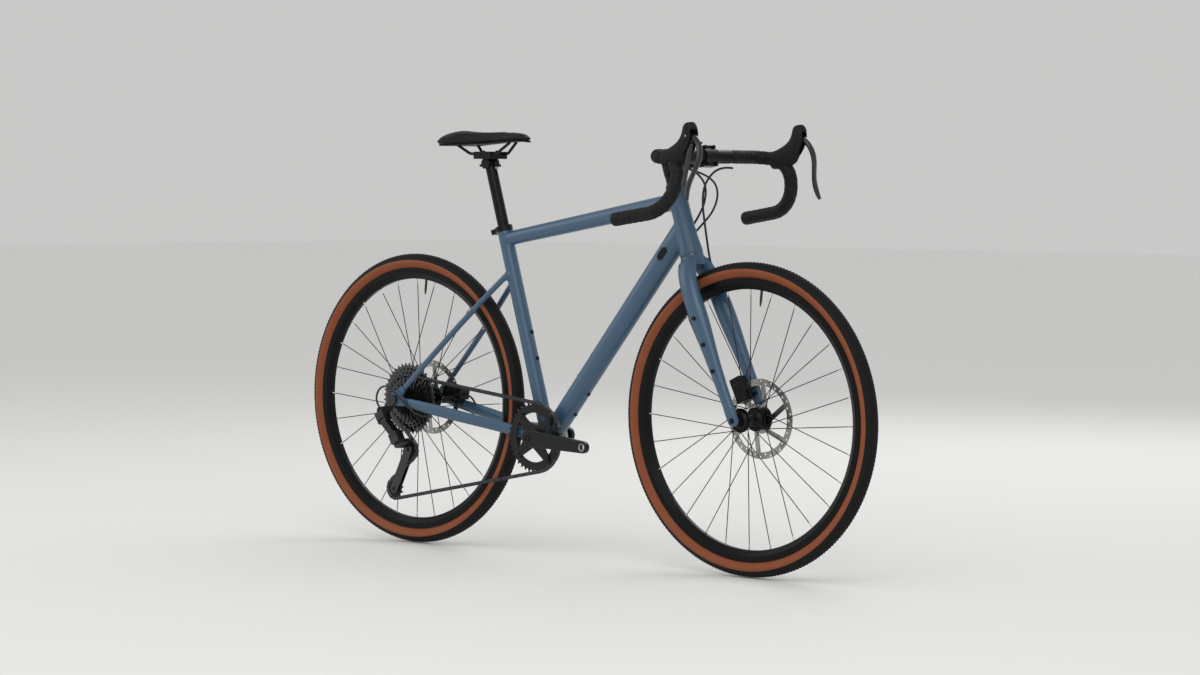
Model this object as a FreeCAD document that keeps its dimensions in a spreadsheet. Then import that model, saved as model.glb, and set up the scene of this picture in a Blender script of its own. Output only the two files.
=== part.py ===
import FreeCAD, Part
import math
import os
import Sketcher
from FreeCAD import Placement, Rotation, Vector

# A gravel bike in millimetres. +X is forward, +Y is the rider's left, +Z is up.
# The origin lies on the ground, halfway between the two axles.

SIZES = {
    # Layout
    "wheelbase": 1042.0,
    "bead_diameter": 622.0,
    "tyre_width": 40.0,
    "bracket_reach": 435.0,
    "bracket_drop": 70.0,
    "seat_angle": 73.45,
    "head_angle": 72.0,
    "fork_offset": 50.0,
    "fork_length": 395.0,
    "running_clearance": 0.05,
    "seat_gap": 0.2,
    "side_gap": 0.4,
    "overrun": 5.0,
    # Frame tubes
    "tube_wall": 2.0,
    "head_tube_length": 165.0,
    "head_tube_gap": 1.5,
    "head_tube_low_radius": 27.0,
    "head_tube_waist_radius": 21.8,
    "head_tube_top_radius": 22.3,
    "head_tube_skirt": 10.0,
    "head_tube_waist_height": 100.0,
    "seat_tube_length": 500.0,
    "seat_tube_radius": 17.2,
    "seat_neck_radius": 15.8,
    "seat_neck_height": 9.0,
    "seat_bore_depth": 330.0,
    "top_tube_seat_drop": 19.0,
    "top_tube_head_drop": 35.0,
    "top_tube_seat_half_width": 15.0,
    "top_tube_seat_half_height": 17.0,
    "top_tube_head_half_width": 18.0,
    "top_tube_head_half_height": 20.0,
    "down_tube_bracket_lead": 8.0,
    "down_tube_head_rise": 68.0,
    "down_tube_low_half_width": 24.0,
    "down_tube_low_half_height": 24.5,
    "down_tube_head_half_width": 21.0,
    "down_tube_head_half_height": 27.0,
    "shell_radius": 23.0,
    "shell_width": 68.0,
    "chain_stay_half_width": 8.0,
    "chain_stay_half_height": 14.0,
    "chain_stay_root_half_height": 17.0,
    "chain_stay_tail_half_height": 10.5,
    "chain_stay_root_side": 24.0,
    "chain_stay_tyre_side": 34.5,
    "chain_stay_tail_lead": 24.0,
    "seat_stay_half_width": 7.0,
    "seat_stay_half_height": 7.5,
    "seat_stay_height": 398.0,
    "seat_stay_root_side": 16.0,
    "seat_stay_tyre_side": 33.0,
    "seat_stay_mid_side": 53.0,
    "seat_stay_tail_rise": 20.0,
    "dropout_thickness": 7.0,
    "dropout_radius": 16.0,
    "dropout_arm": 34.0,
    "dropout_arm_radius": 9.0,
    "collar_radius": 20.5,
    "collar_height": 12.0,
    "collar_lug": 9.0,
    "collar_slit": 1.6,
    "collar_bolt_radius": 2.5,
    "collar_bolt_head_radius": 4.2,
    "bolt_head_radius": 4.4,
    "bolt_head_height": 3.0,
    "boss_pitch": 64.0,
    "seat_boss_height": 185.0,
    "down_boss_reach": 170.0,
    "under_boss_reach": 92.0,
    "port_length": 34.0,
    "port_width": 16.0,
    "port_rise": 2.2,
    "port_drop": 70.0,
    # Headset and steerer
    "low_bearing_radius": 24.6,
    "low_bearing_height": 8.0,
    "top_bearing_radius": 19.4,
    "top_bearing_height": 7.0,
    "steerer_low_radius": 19.0,
    "steerer_radius": 14.3,
    "steerer_bore": 11.0,
    "steerer_taper_start": 25.0,
    "steerer_taper_end": 75.0,
    "crown_depth": 24.0,
    "crown_low_radius": 23.0,
    "headset_cover_height": 9.0,
    "spacer_height": 8.5,
    "spacer_radius": 17.5,
    # Fork
    "leg_top_half_width": 17.0,
    "leg_top_half_depth": 23.0,
    "leg_tip_half_width": 7.0,
    "leg_tip_half_depth": 12.5,
    "leg_side": 57.0,
    "leg_shoulder_side": 47.0,
    "front_hub_width": 100.0,
    "axle_radius": 6.0,
    "axle_head_radius": 9.5,
    "axle_head_height": 5.0,
    "cargo_pitch": 64.0,
    # Cockpit
    "stem_length": 110.0,
    "stem_rise_angle": 12.0,
    "stem_clamp_height": 40.0,
    "stem_clamp_radius": 18.5,
    "stem_half_width": 15.0,
    "stem_half_height": 17.0,
    "bar_clamp_radius": 15.9,
    "bar_clamp_wall": 4.0,
    "bar_clamp_width": 44.0,
    "bar_clamp_reach": 76.0,
    "faceplate_gap": 0.6,
    "ear_height": 7.0,
    "ear_depth": 10.0,
    "cap_radius": 17.0,
    "cap_height": 5.0,
    "bar_radius": 11.9,
    "tape_thickness": 3.6,
    "bar_half_width": 190.0,
    "bar_reach": 85.0,
    "bar_ramp_drop": 9.0,
    "bar_drop": 118.0,
    "bar_flare": 26.0,
    "bar_hook_length": 146.0,
    "bar_end_drop": 22.0,
    "bar_shoulder_radius": 30.0,
    "bar_upper_radius": 46.0,
    "bar_lower_radius": 80.0,
    "tape_start": 82.0,
    "plug_length": 7.0,
    "hood_length": 74.0,
    "hood_height": 86.0,
    "hood_half_width": 18.0,
    "hood_back": 24.0,
    "lever_pivot_reach": 112.0,
    "lever_pivot_rise": 43.0,
    "lever_side": 4.0,
    "lever_drop": 138.0,
    "lever_bow": 34.0,
    "lever_flare": 40.0,
    "lever_half_width": 7.6,
    "lever_half_thickness": 4.6,
    "lever_boss_radius": 7.0,
    "lever_boss_width": 14.0,
    "lever_pin_radius": 2.5,
    "lever_slot_gap": 3.2,
    "paddle_setback": 14.0,
    "paddle_drop": 15.0,
    "paddle_length": 92.0,
    "paddle_half_width": 6.0,
    "paddle_thickness": 3.0,
    "paddle_pin_radius": 2.0,
    "paddle_travel": 9.0,
    # Wheels
    "rim_width": 26.0,
    "rim_inner_width": 21.0,
    "rim_flange": 6.0,
    "rim_depth": 26.0,
    "rim_wall": 2.0,
    "rim_nose_width": 9.0,
    "rim_well": 4.0,
    "tyre_wall": 2.4,
    "tread_thickness": 4.0,
    "bead_fit": 0.15,
    "spoke_radius": 1.0,
    "nipple_radius": 2.0,
    "nipple_length": 11.0,
    "spokes_per_side": 14,
    "spoke_crosses": 2,
    "spoke_gap": 0.9,
    "nipple_gap": 0.4,
    "spoke_rim_stagger": 2.2,
    "valve_radius": 3.0,
    "valve_length": 24.0,
    "hub_cap_radius": 9.5,
    "hub_barrel_radius": 12.5,
    "hub_end_radius": 15.0,
    "hub_cap_length": 4.2,
    "flange_thickness": 3.0,
    "flange_edge": 3.0,
    "front_flange_radius": 24.0,
    "front_right_flange": 32.0,
    "front_left_flange": 21.0,
    "rear_hub_width": 142.0,
    "rear_flange_radius": 27.0,
    "rear_right_flange": 18.5,
    "rear_left_flange": 33.0,
    "rotor_radius": 90.0,
    "rotor_track": 15.0,
    "rotor_thickness": 1.8,
    "rotor_carrier_radius": 33.0,
    "rotor_bore": 15.5,
    "rotor_hole_radius": 2.3,
    "rotor_holes": 36,
    "rotor_arms": 6,
    "rotor_arm_width": 12.0,
    "front_rotor_side": 40.0,
    "rear_rotor_side": 55.0,
    # Brakes
    "pad_thickness": 3.6,
    "pad_length": 24.0,
    "pad_height": 15.0,
    "pad_gap": 0.35,
    "caliper_length": 58.0,
    "caliper_depth": 30.0,
    "caliper_width": 34.0,
    "caliper_piston_radius": 13.0,
    "caliper_piston_height": 1.2,
    "front_caliper_angle": 130.0,
    "rear_caliper_angle": 12.0,
    # Drive
    "chain_pitch": 12.7,
    "roller_radius": 3.85,
    "roller_seat_gap": 0.2,
    "tooth_rise": 2.4,
    "tooth_tip_width": 1.7,
    "chain_inner_half_width": 1.15,
    "plate_thickness": 0.8,
    "plate_side_gap": 0.12,
    "plate_half_height": 4.2,
    "chain_pin_radius": 1.8,
    "chain_pin_gap": 0.16,
    "chain_pin_reach": 0.15,
    "ring_teeth": 40,
    "ring_thickness": 1.8,
    "ring_inner_radius": 58.0,
    "ring_bolt_circle": 62.0,
    "ring_bolt_radius": 4.5,
    "chain_line": 47.0,
    "cog_thickness": 1.6,
    "cog_pitch": 3.9,
    "small_cog_side": 64.0,
    "spacer_ring_radius": 20.0,
    "freehub_radius": 17.0,
    "pulley_teeth": 12,
    "pulley_thickness": 1.9,
    "spindle_radius": 12.0,
    "cup_radius": 22.0,
    "cup_width": 10.5,
    "cup_thread_radius": 17.4,
    "cup_thread_length": 12.0,
    "cup_bearing_radius": 18.5,
    "cup_bearing_width": 7.0,
    "crank_length": 170.0,
    "crank_dip_angle": 4.3,
    "crank_boss_radius": 20.0,
    "crank_tip_radius": 14.0,
    "crank_thickness": 13.0,
    "crank_side": 60.0,
    "crank_edge": 3.0,
    "pedal_hole_radius": 7.1,
    "spider_thickness": 4.0,
    "spider_arm_radius": 9.0,
    "spider_gap": 0.3,
    # Derailleur
    "hanger_thickness": 6.0,
    "hanger_back": 22.0,
    "hanger_drop": 27.0,
    "hanger_radius": 11.0,
    "knuckle_radius": 10.5,
    "knuckle_width": 20.0,
    "link_root_lead": 9.0,
    "link_root_drop": 23.0,
    "link_length": 42.0,
    "link_lead_angle": 59.5,
    "link_lean_angle": 23.0,
    "link_half_width": 9.0,
    "link_boss_radius": 3.9,
    "link_pin_radius": 2.0,
    "link_spread": 13.0,
    "link_outer_inset": 1.0,
    "cheek_thickness": 4.0,
    "cheek_half_height": 5.5,
    "cage_pivot_lead": 4.0,
    "cage_pivot_drop": 23.5,
    "cage_pivot_radius": 11.0,
    "cage_pin_radius": 5.0,
    "guide_lead": 3.0,
    "guide_drop": 16.0,
    "cage_length": 109.0,
    "cage_lean_angle": 25.0,
    "cage_half_gap": 4.4,
    "cage_plate_thickness": 1.8,
    "cage_end_radius": 12.0,
    "cage_bolt_radius": 3.5,
    # Seat
    "post_radius": 13.6,
    "post_length": 350.0,
    "post_showing": 168.0,
    "post_bore": 11.0,
    "clamp_drum_radius": 13.0,
    "clamp_drum_width": 36.0,
    "clamp_plate_length": 56.0,
    "clamp_plate_thickness": 5.0,
    "cradle_height": 12.0,
    "post_ear_length": 56.0,
    "post_ear_width": 15.0,
    "post_ear_thickness": 6.0,
    "post_ear_drop": 5.0,
    "clamp_bolt_radius": 2.6,
    "clamp_bolt_length": 36.0,
    "rail_radius": 3.5,
    "rail_half_spread": 22.0,
    "rail_bend_radius": 16.0,
    "rail_level": 944.0,
    "rail_nose_side": 11.0,
    "rail_tail_side": 36.0,
    "rail_rise": 23.0,
    "saddle_nose": -152.0,
    "saddle_length": 252.0,
    "saddle_half_width": 71.0,
    "saddle_top": 996.0,
    "saddle_shell_thickness": 3.0,
    "saddle_pad_height": 30.0,
    # Hoses
    "hose_reach": 100.0,
    "hose_radius": 2.5,
    "housing_radius": 2.4,
}

COG_TEETH = (11, 13, 15, 17, 19, 22, 25, 28, 32, 36, 42)
CHAIN_COG = 7
FULL_TURN = 360.0
DIAGONAL = math.sqrt(0.5)

ACROSS = Vector(0, 1, 0)
FORWARD = Vector(1, 0, 0)
UP = Vector(0, 0, 1)

document = FreeCAD.newDocument("GravelBike")
sheet = document.addObject("Spreadsheet::Sheet", "Sizes")
for row, (alias, value) in enumerate(SIZES.items(), start=1):
    sheet.set(f"A{row}", alias)
    sheet.set(f"B{row}", str(value))
    sheet.setAlias(f"B{row}", alias)
document.recompute()


class Size:
    """A length, an angle or a count: its value and the sheet formula that gives it."""

    def __init__(self, value, formula):
        self.value = value
        self.formula = formula

    def __float__(self):
        return self.value

    def __neg__(self):
        return Size(-self.value, f"(-{self.formula})")

    def __add__(self, other):
        return Size(self.value + float(other), f"({self.formula} + {formula_of(other)})")

    def __radd__(self, other):
        return Size(float(other) + self.value, f"({formula_of(other)} + {self.formula})")

    def __sub__(self, other):
        return Size(self.value - float(other), f"({self.formula} - {formula_of(other)})")

    def __rsub__(self, other):
        return Size(float(other) - self.value, f"({formula_of(other)} - {self.formula})")

    def __mul__(self, other):
        return Size(self.value * float(other), f"({self.formula} * {formula_of(other)})")

    def __rmul__(self, other):
        return Size(float(other) * self.value, f"({formula_of(other)} * {self.formula})")

    def __truediv__(self, other):
        return Size(self.value / float(other), f"({self.formula} / {formula_of(other)})")


def formula_of(quantity):
    return quantity.formula if isinstance(quantity, Size) else repr(float(quantity))


def measured(value):
    """A length taken between points that the sheet already places."""
    return Size(value, repr(value))


class Sizes:
    """Gives each driving dimension of the sheet by its name."""

    def __getattr__(self, alias):
        return Size(float(sheet.get(alias)), f"Sizes.{alias}")


s = Sizes()
pieces = {}


def keep(item, label):
    """Names a finished piece, which becomes a file of its own."""
    item.Label = label
    pieces[label] = item
    return item


def bind(item, **sizes):
    for name, size in sizes.items():
        item.setExpression(name, formula_of(size))


def step(direction, size):
    return direction * float(size)


def unit(vector):
    copy = Vector(vector)
    return copy.normalize()


def turned_by(degrees, axis):
    return Rotation(axis, float(degrees))


def along(base, direction):
    """Placement whose own Z runs along a direction."""
    return Placement(base, Rotation(UP, unit(direction)))


def facing(base, x_axis, normal):
    """Placement whose own Z is the normal and whose X runs along the given axis."""
    z_axis = unit(normal)
    y_axis = unit(z_axis.cross(x_axis))
    return Placement(base, Rotation(y_axis.cross(z_axis), y_axis, z_axis, "ZXY"))


def cylinder(name, radius, height, base, direction):
    item = document.addObject("Part::Cylinder", name)
    bind(item, Radius=radius, Height=height)
    item.Placement = along(base, direction)
    return item


def cone(name, low_radius, high_radius, height, base, direction):
    item = document.addObject("Part::Cone", name)
    bind(item, Radius1=low_radius, Radius2=high_radius, Height=height)
    item.Placement = along(base, direction)
    return item


def block(name, length, width, height, centre, x_axis, normal):
    """Box centred on a point, with its length along x_axis and its height along the normal."""
    item = document.addObject("Part::Box", name)
    bind(item, Length=length, Width=width, Height=height)
    middle = Vector(length / 2, width / 2, height / 2)
    place = facing(centre, x_axis, normal)
    item.Placement = Placement(centre - place.Rotation.multVec(middle), place.Rotation)
    return item


def fused(name, items):
    item = document.addObject("Part::MultiFuse", name)
    item.Shapes = items
    return item


def grouped(name, items):
    """Separate solids that share one piece."""
    item = document.addObject("Part::Compound", name)
    item.Links = items
    return item


def cut(name, base, *tools):
    result = base
    for number, tool in enumerate(tools):
        item = document.addObject("Part::Cut", f"{name}{number}")
        item.Base = result
        item.Tool = tool
        result = item
    return result


def solid_of(name, shape, place=None):
    """A piece that only a formula gives, such as a toothed wheel."""
    item = document.addObject("Part::Feature", name)
    item.Shape = shape
    if place is not None:
        item.Placement = place
    return item


def new_sketch(body, role):
    sketch = body.newObject("Sketcher::SketchObject", body.Name + "Outline")
    plane = [feature for feature in body.Origin.OriginFeatures if feature.Role == role][0]
    sketch.AttachmentSupport = [(plane, "")]
    sketch.MapMode = "FlatFace"
    return sketch


def pin_point(sketch, geometry, end, x, y):
    """Ties one point of a sketch to its two sizes."""
    for kind, size, axis in (("DistanceX", x, -2), ("DistanceY", y, -1)):
        if isinstance(size, Size):
            rule = Sketcher.Constraint(kind, -1, 1, geometry, end, float(size))
            number = sketch.addConstraint(rule)
            sketch.setExpression(f"Constraints[{number}]", size.formula)
        else:
            sketch.addConstraint(Sketcher.Constraint("PointOnObject", geometry, end, axis))


def add_outline(sketch, corners):
    """Closed outline. A corner is (x, y), or (x, y, via x, via y) where an arc leaves it."""
    first = sketch.GeometryCount
    count = len(corners)
    ends = []
    for number, corner in enumerate(corners):
        start = Vector(corner[0], corner[1], 0)
        after = corners[(number + 1) % count]
        end = Vector(after[0], after[1], 0)
        anticlockwise = True
        if len(corner) == 4:
            via = Vector(corner[2], corner[3], 0)
            anticlockwise = (via - start).cross(end - via).z > 0
            first_end, last_end = (start, end) if anticlockwise else (end, start)
            sketch.addGeometry(Part.ArcOfCircle(first_end, via, last_end))
        else:
            sketch.addGeometry(Part.LineSegment(start, end))
        ends.append((1, 2) if anticlockwise else (2, 1))
    for number, corner in enumerate(corners):
        before = (number - 1) % count
        joint = Sketcher.Constraint(
            "Coincident", first + before, ends[before][1], first + number, ends[number][0])
        sketch.addConstraint(joint)
        pin_point(sketch, first + number, ends[number][0], corner[0], corner[1])
        if len(corner) == 4:
            point = sketch.addGeometry(Part.Point(Vector(corner[2], corner[3], 0)), True)
            pin_point(sketch, point, 1, corner[2], corner[3])
            sketch.addConstraint(Sketcher.Constraint("PointOnObject", point, 1, first + number))


def turned(name, corners, base, direction, *hollows):
    """Lathe piece: corners are (radius, height) along the direction from the base."""
    body = document.addObject("PartDesign::Body", name)
    sketch = new_sketch(body, "XZ_Plane")
    add_outline(sketch, corners)
    for hollow in hollows:
        add_outline(sketch, hollow)
    turn = body.newObject("PartDesign::Revolution", name + "Turn")
    turn.Profile = (sketch, [""])
    turn.ReferenceAxis = (sketch, ["V_Axis"])
    turn.Angle = FULL_TURN
    body.Placement = along(base, direction)
    return body


def strap(name, place, length, near_radius, far_radius, thickness, holes=(), edge=None):
    """Flat bar with round ends: holes are (distance from the near end, radius)."""
    body = document.addObject("PartDesign::Body", name)
    sketch = new_sketch(body, "XY_Plane")
    tilt = math.acos((float(near_radius) - float(far_radius)) / float(length))
    far = Vector(length, 0, 0)
    near_circle = Part.Circle(Vector(), UP, float(near_radius))
    far_circle = Part.Circle(far, UP, float(far_radius))
    spoke = Vector(math.cos(tilt), math.sin(tilt), 0)
    mirror = Vector(spoke.x, -spoke.y, 0)
    sketch.addGeometry(Part.ArcOfCircle(near_circle, tilt, 2 * math.pi - tilt))
    sketch.addGeometry(Part.ArcOfCircle(far_circle, -tilt, tilt))
    sketch.addGeometry(Part.LineSegment(step(spoke, near_radius), far + step(spoke, far_radius)))
    sketch.addGeometry(Part.LineSegment(step(mirror, near_radius), far + step(mirror, far_radius)))
    for one, one_end, two, two_end in ((0, 1, 2, 1), (2, 2, 1, 2), (0, 2, 3, 1), (3, 2, 1, 1)):
        sketch.addConstraint(Sketcher.Constraint("Tangent", one, one_end, two, two_end))
    pin_point(sketch, 0, 3, 0, 0)
    pin_point(sketch, 1, 3, length, 0)
    for geometry, radius in ((0, near_radius), (1, far_radius)):
        number = sketch.addConstraint(Sketcher.Constraint("Radius", geometry, float(radius)))
        sketch.setExpression(f"Constraints[{number}]", radius.formula)
    for distance, radius in holes:
        centre = Vector(distance, 0, 0)
        hole = sketch.addGeometry(Part.Circle(centre, UP, float(radius)))
        pin_point(sketch, hole, 3, distance, 0)
        number = sketch.addConstraint(Sketcher.Constraint("Radius", hole, float(radius)))
        sketch.setExpression(f"Constraints[{number}]", radius.formula)
    pad = body.newObject("PartDesign::Pad", name + "Pad")
    pad.Profile = sketch
    bind(pad, Length=thickness)
    if edge is not None:
        document.recompute()
        top = [f"Edge{number}" for number, side in enumerate(pad.Shape.Edges, start=1)
               if side.BoundBox.ZMin > float(thickness) - float(s.seat_gap)
               and side.Length > 2 * math.pi * float(far_radius) / 3]
        softened = body.newObject("PartDesign::Fillet", name + "Edge")
        softened.Base = (pad, top)
        bind(softened, Radius=edge)
    body.Placement = place
    return body


def lofted(name, stations, wide_first=True):
    """Body through ellipses: a station is (centre, normal, wide axis, half width, half height)."""
    sections = []
    for number, (centre, normal, wide_axis, half_width, half_height) in enumerate(stations):
        section = document.addObject("Part::Ellipse", f"{name}Section{number}")
        first, second = (half_width, half_height) if wide_first else (half_height, half_width)
        bind(section, MajorRadius=first)
        section.setExpression("MinorRadius", f"min({formula_of(first)}; {formula_of(second)})")
        flat = facing(centre, wide_axis, normal)
        if not wide_first:
            flat = facing(centre, unit(normal).cross(wide_axis), normal)
        section.Placement = flat
        sections.append(section)
    loft = document.addObject("Part::Loft", name)
    loft.Sections = sections
    loft.Solid = True
    return loft


def rounded_path(points, radii):
    """Straight runs joined by tangent arcs, one radius for each inner point."""
    edges = []
    start = points[0]
    for before, corner, after, radius in zip(points, points[1:], points[2:], radii):
        into, out = unit(corner - before), unit(after - corner)
        turn = into.getAngle(out)
        reach = float(radius) * math.tan(turn / 2)
        one, two = corner - into * reach, corner + out * reach
        bisector = unit(out - into)
        centre = corner + bisector * (float(radius) / math.cos(turn / 2))
        middle = centre - bisector * float(radius)
        if (one - start).Length > float(s.running_clearance):
            edges.append(Part.LineSegment(start, one).toShape())
        edges.append(Part.Arc(one, middle, two).toShape())
        start = two
    edges.append(Part.LineSegment(start, points[-1]).toShape())
    return Part.Wire(edges)


CORD_ARC_SHARE = 0.45


def cord_path(name, points):
    """A cord's path, each arc as large as its two runs allow; prints the radii."""
    radii = []
    for before, corner, after in zip(points, points[1:], points[2:]):
        turn = (corner - before).getAngle(after - corner)
        run = min((corner - before).Length, (after - corner).Length)
        radii.append(CORD_ARC_SHARE * run / math.tan(turn / 2))
    print(name, "bend radii", [round(radius, 1) for radius in radii])
    return rounded_path(points, radii)


def swept(name, wire, radius):
    """Round tube along a path of lines and arcs."""
    spine = solid_of(name + "Path", wire)
    section = document.addObject("Part::Circle", name + "Section")
    bind(section, Radius=radius)
    first = wire.OrderedEdges[0]
    section.Placement = along(first.valueAt(first.FirstParameter), first.tangentAt(first.FirstParameter))
    sweep = document.addObject("Part::Sweep", name)
    sweep.Sections = [section]
    sweep.Spine = (spine, [f"Edge{number + 1}" for number in range(len(wire.Edges))])
    sweep.Solid = True
    return sweep


# Layout points
wheel_radius = s.bead_diameter / 2 + s.tyre_width
rear_axle = Vector(-s.wheelbase / 2, 0, wheel_radius)
front_axle = Vector(s.wheelbase / 2, 0, wheel_radius)
bracket = rear_axle + Vector(s.bracket_reach, 0, -s.bracket_drop)
seat_axis = turned_by(s.seat_angle, ACROSS).multVec(-FORWARD)
head_axis = turned_by(s.head_angle, ACROSS).multVec(-FORWARD)
head_front = ACROSS.cross(head_axis)
seat_front = ACROSS.cross(seat_axis)
steer_foot = front_axle - step(head_front, s.fork_offset)
crown_race = steer_foot + step(head_axis, s.fork_length)
head_low = crown_race + step(head_axis, s.head_tube_gap)
head_top = head_low + step(head_axis, s.head_tube_length)
seat_top = bracket + step(seat_axis, s.seat_tube_length)

# Head tube with its two bearing seats
HEAD_BORE_SHARES = (0.94, 0.8)
HEAD_VIA_SHARE = 0.3
head_via_radius = (s.head_tube_waist_radius
                   + (s.head_tube_low_radius - s.head_tube_waist_radius) * HEAD_VIA_SHARE)
low_seat = s.low_bearing_radius + s.running_clearance
top_seat = s.top_bearing_radius + s.running_clearance
low_bore = s.steerer_low_radius + s.tube_wall * HEAD_BORE_SHARES[1]
top_bore = s.steerer_radius + s.tube_wall * HEAD_BORE_SHARES[0]
top_shelf = s.head_tube_length - s.top_bearing_height - s.side_gap
head_outer = [
    (s.head_tube_low_radius, s.head_tube_skirt, head_via_radius, s.head_tube_waist_height / 2),
    (s.head_tube_waist_radius, s.head_tube_waist_height),
    (s.head_tube_top_radius, s.head_tube_length),
]
head_tube = turned("HeadTube", [
    (low_seat, 0), (s.head_tube_low_radius, 0), *head_outer,
    (top_seat, s.head_tube_length), (top_seat, top_shelf), (top_bore, top_shelf),
    (top_bore, s.head_tube_waist_height), (low_bore, s.head_tube_waist_height - s.steerer_taper_start),
    (low_bore, s.low_bearing_height), (low_seat, s.low_bearing_height),
], head_low, head_axis)
keep(head_tube, "head_tube")
head_envelope = turned("HeadEnvelope", [
    (0, 0), (s.head_tube_low_radius, 0), *head_outer, (0, s.head_tube_length),
], head_low, head_axis)

# Bottom bracket shell
half_shell = s.shell_width / 2
shell_base = bracket - step(ACROSS, half_shell)
shell_envelope = cylinder("ShellEnvelope", s.shell_radius, s.shell_width, shell_base, ACROSS)
shell_bore = cylinder("ShellBore", s.cup_thread_radius + s.running_clearance,
                      s.shell_width + s.overrun * 2, shell_base - step(ACROSS, s.overrun), ACROSS)
shell = keep(cut("Shell", shell_envelope, shell_bore), "bottom_bracket_shell")

# Seat tube with the seatpost's bore
post_bore = s.post_radius + s.running_clearance
neck_top = s.seat_tube_length + s.seat_neck_height
seat_tube_body = turned("SeatTubeBlank", [
    (post_bore, neck_top - s.seat_bore_depth), (post_bore, neck_top), (s.seat_neck_radius, neck_top),
    (s.seat_neck_radius, s.seat_tube_length), (s.seat_tube_radius, s.seat_tube_length),
    (s.seat_tube_radius, 0), (s.seat_tube_radius - s.tube_wall, 0),
    (s.seat_tube_radius - s.tube_wall, neck_top - s.seat_bore_depth),
], bracket, seat_axis)
seat_tube = keep(cut("SeatTube", seat_tube_body, shell_envelope), "seat_tube")
seat_envelope = cylinder("SeatEnvelope", s.seat_tube_radius, s.seat_tube_length, bracket, seat_axis)


def tube(name, start, end, start_sizes, end_sizes):
    """Tapered oval tube: its outside and its bore."""
    axis = unit(end - start)
    tall = start_sizes[1].value > start_sizes[0].value
    skins = []
    for part_name, wall in ((name + "Outside", 0), (name + "Bore", s.tube_wall)):
        stations = [(point, axis, ACROSS, half_width - wall, half_height - wall)
                    for point, (half_width, half_height) in ((start, start_sizes), (end, end_sizes))]
        skins.append(lofted(part_name, stations, not tall))
    return skins


# Top tube, mitred between the seat tube and the head tube
top_tube_back = seat_top - step(seat_axis, s.top_tube_seat_drop)
top_tube_front = head_top - step(head_axis, s.top_tube_head_drop)
top_outside, top_bore_loft = tube(
    "TopTube", top_tube_back, top_tube_front,
    (s.top_tube_seat_half_width, s.top_tube_seat_half_height),
    (s.top_tube_head_half_width, s.top_tube_head_half_height))
keep(cut("TopTube", top_outside, top_bore_loft, seat_envelope, head_envelope), "top_tube")

# Down tube, mitred to the head tube, the seat tube and the shell
down_low = bracket + step(FORWARD, s.down_tube_bracket_lead)
down_high = head_low + step(head_axis, s.down_tube_head_rise)
down_axis = unit(down_high - down_low)
down_under = ACROSS.cross(down_axis)
down_outside, down_bore_loft = tube(
    "DownTube", down_low, down_high,
    (s.down_tube_low_half_width, s.down_tube_low_half_height),
    (s.down_tube_head_half_width, s.down_tube_head_half_height))
keep(cut("DownTube", down_outside, down_bore_loft, shell_envelope, seat_envelope, head_envelope),
     "down_tube")

# Rear dropouts with their arms towards the stays
half_rear = s.rear_hub_width / 2
half_front = s.front_hub_width / 2
stay_root = bracket + step(seat_axis, s.seat_stay_height)
chain_direction = unit(bracket - rear_axle)
seat_direction = unit(stay_root - rear_axle)
dropouts = []
for side in (-1, 1):
    outward = ACROSS * side
    inner_face = rear_axle + step(outward, half_rear)
    arms = []
    for number, direction in enumerate((chain_direction, seat_direction)):
        arms.append(strap(
            f"Dropout{'RL'[side > 0]}{number}", facing(inner_face, direction, outward), s.dropout_arm,
            s.dropout_radius, s.dropout_arm_radius, s.dropout_thickness))
    plate = fused(f"DropoutPlate{'RL'[side > 0]}", arms)
    hole = cylinder(f"DropoutHole{'RL'[side > 0]}", s.axle_radius + s.running_clearance,
                    s.dropout_thickness + s.overrun * 2, inner_face - step(outward, s.overrun), outward)
    dropouts.append(cut(f"Dropout{'RL'[side > 0]}", plate, hole))
keep(grouped("Dropouts", dropouts), "dropouts")

# Chain stays and seat stays
CHAIN_STAY_SHARES = (0.04, 0.2, 0.56, 1.0)
SEAT_STAY_SHARES = (0.0, 0.2, 0.52, 1.0)
STAY_MID_SHARE = 0.5
half_plate = s.dropout_thickness / 2
tail_side = half_rear + half_plate
chain_tail = rear_axle + step(chain_direction, s.chain_stay_tail_lead)
seat_tail = rear_axle + step(seat_direction, s.seat_stay_tail_rise)
chain_mid_side = s.chain_stay_tyre_side + (tail_side - s.chain_stay_tyre_side) * STAY_MID_SHARE
stays = []
for side, dropout in zip((-1, 1), dropouts):
    hand = "RL"[side > 0]
    run = chain_tail - bracket
    centres = [bracket + run * share for share in CHAIN_STAY_SHARES]
    sides = (s.chain_stay_root_side, s.chain_stay_tyre_side, chain_mid_side, tail_side)
    heights = (s.chain_stay_root_half_height, s.chain_stay_half_height, s.chain_stay_half_height,
               s.chain_stay_tail_half_height)
    stations = [(centre + step(ACROSS * side, offset), -chain_direction, ACROSS,
                 s.chain_stay_half_width if number < 3 else half_plate, height)
                for number, (centre, offset, height) in enumerate(zip(centres, sides, heights))]
    chain_stay = cut(f"ChainStay{hand}", lofted(f"ChainStayLoft{hand}", stations, False),
                     shell_envelope, dropout)
    run = seat_tail - stay_root
    centres = [stay_root + run * share for share in SEAT_STAY_SHARES]
    sides = (s.seat_stay_root_side, s.seat_stay_tyre_side, s.seat_stay_mid_side, tail_side)
    stations = [(centre + step(ACROSS * side, offset), -seat_direction, ACROSS,
                 s.seat_stay_half_width if number < 3 else half_plate, s.seat_stay_half_height)
                for number, (centre, offset) in enumerate(zip(centres, sides))]
    seat_stay = cut(f"SeatStay{hand}", lofted(f"SeatStayLoft{hand}", stations, False),
                    seat_envelope, dropout, chain_stay)
    stays.append((chain_stay, seat_stay))
keep(grouped("RearStays", [stay for pair in stays for stay in pair]), "rear_stays")

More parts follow.
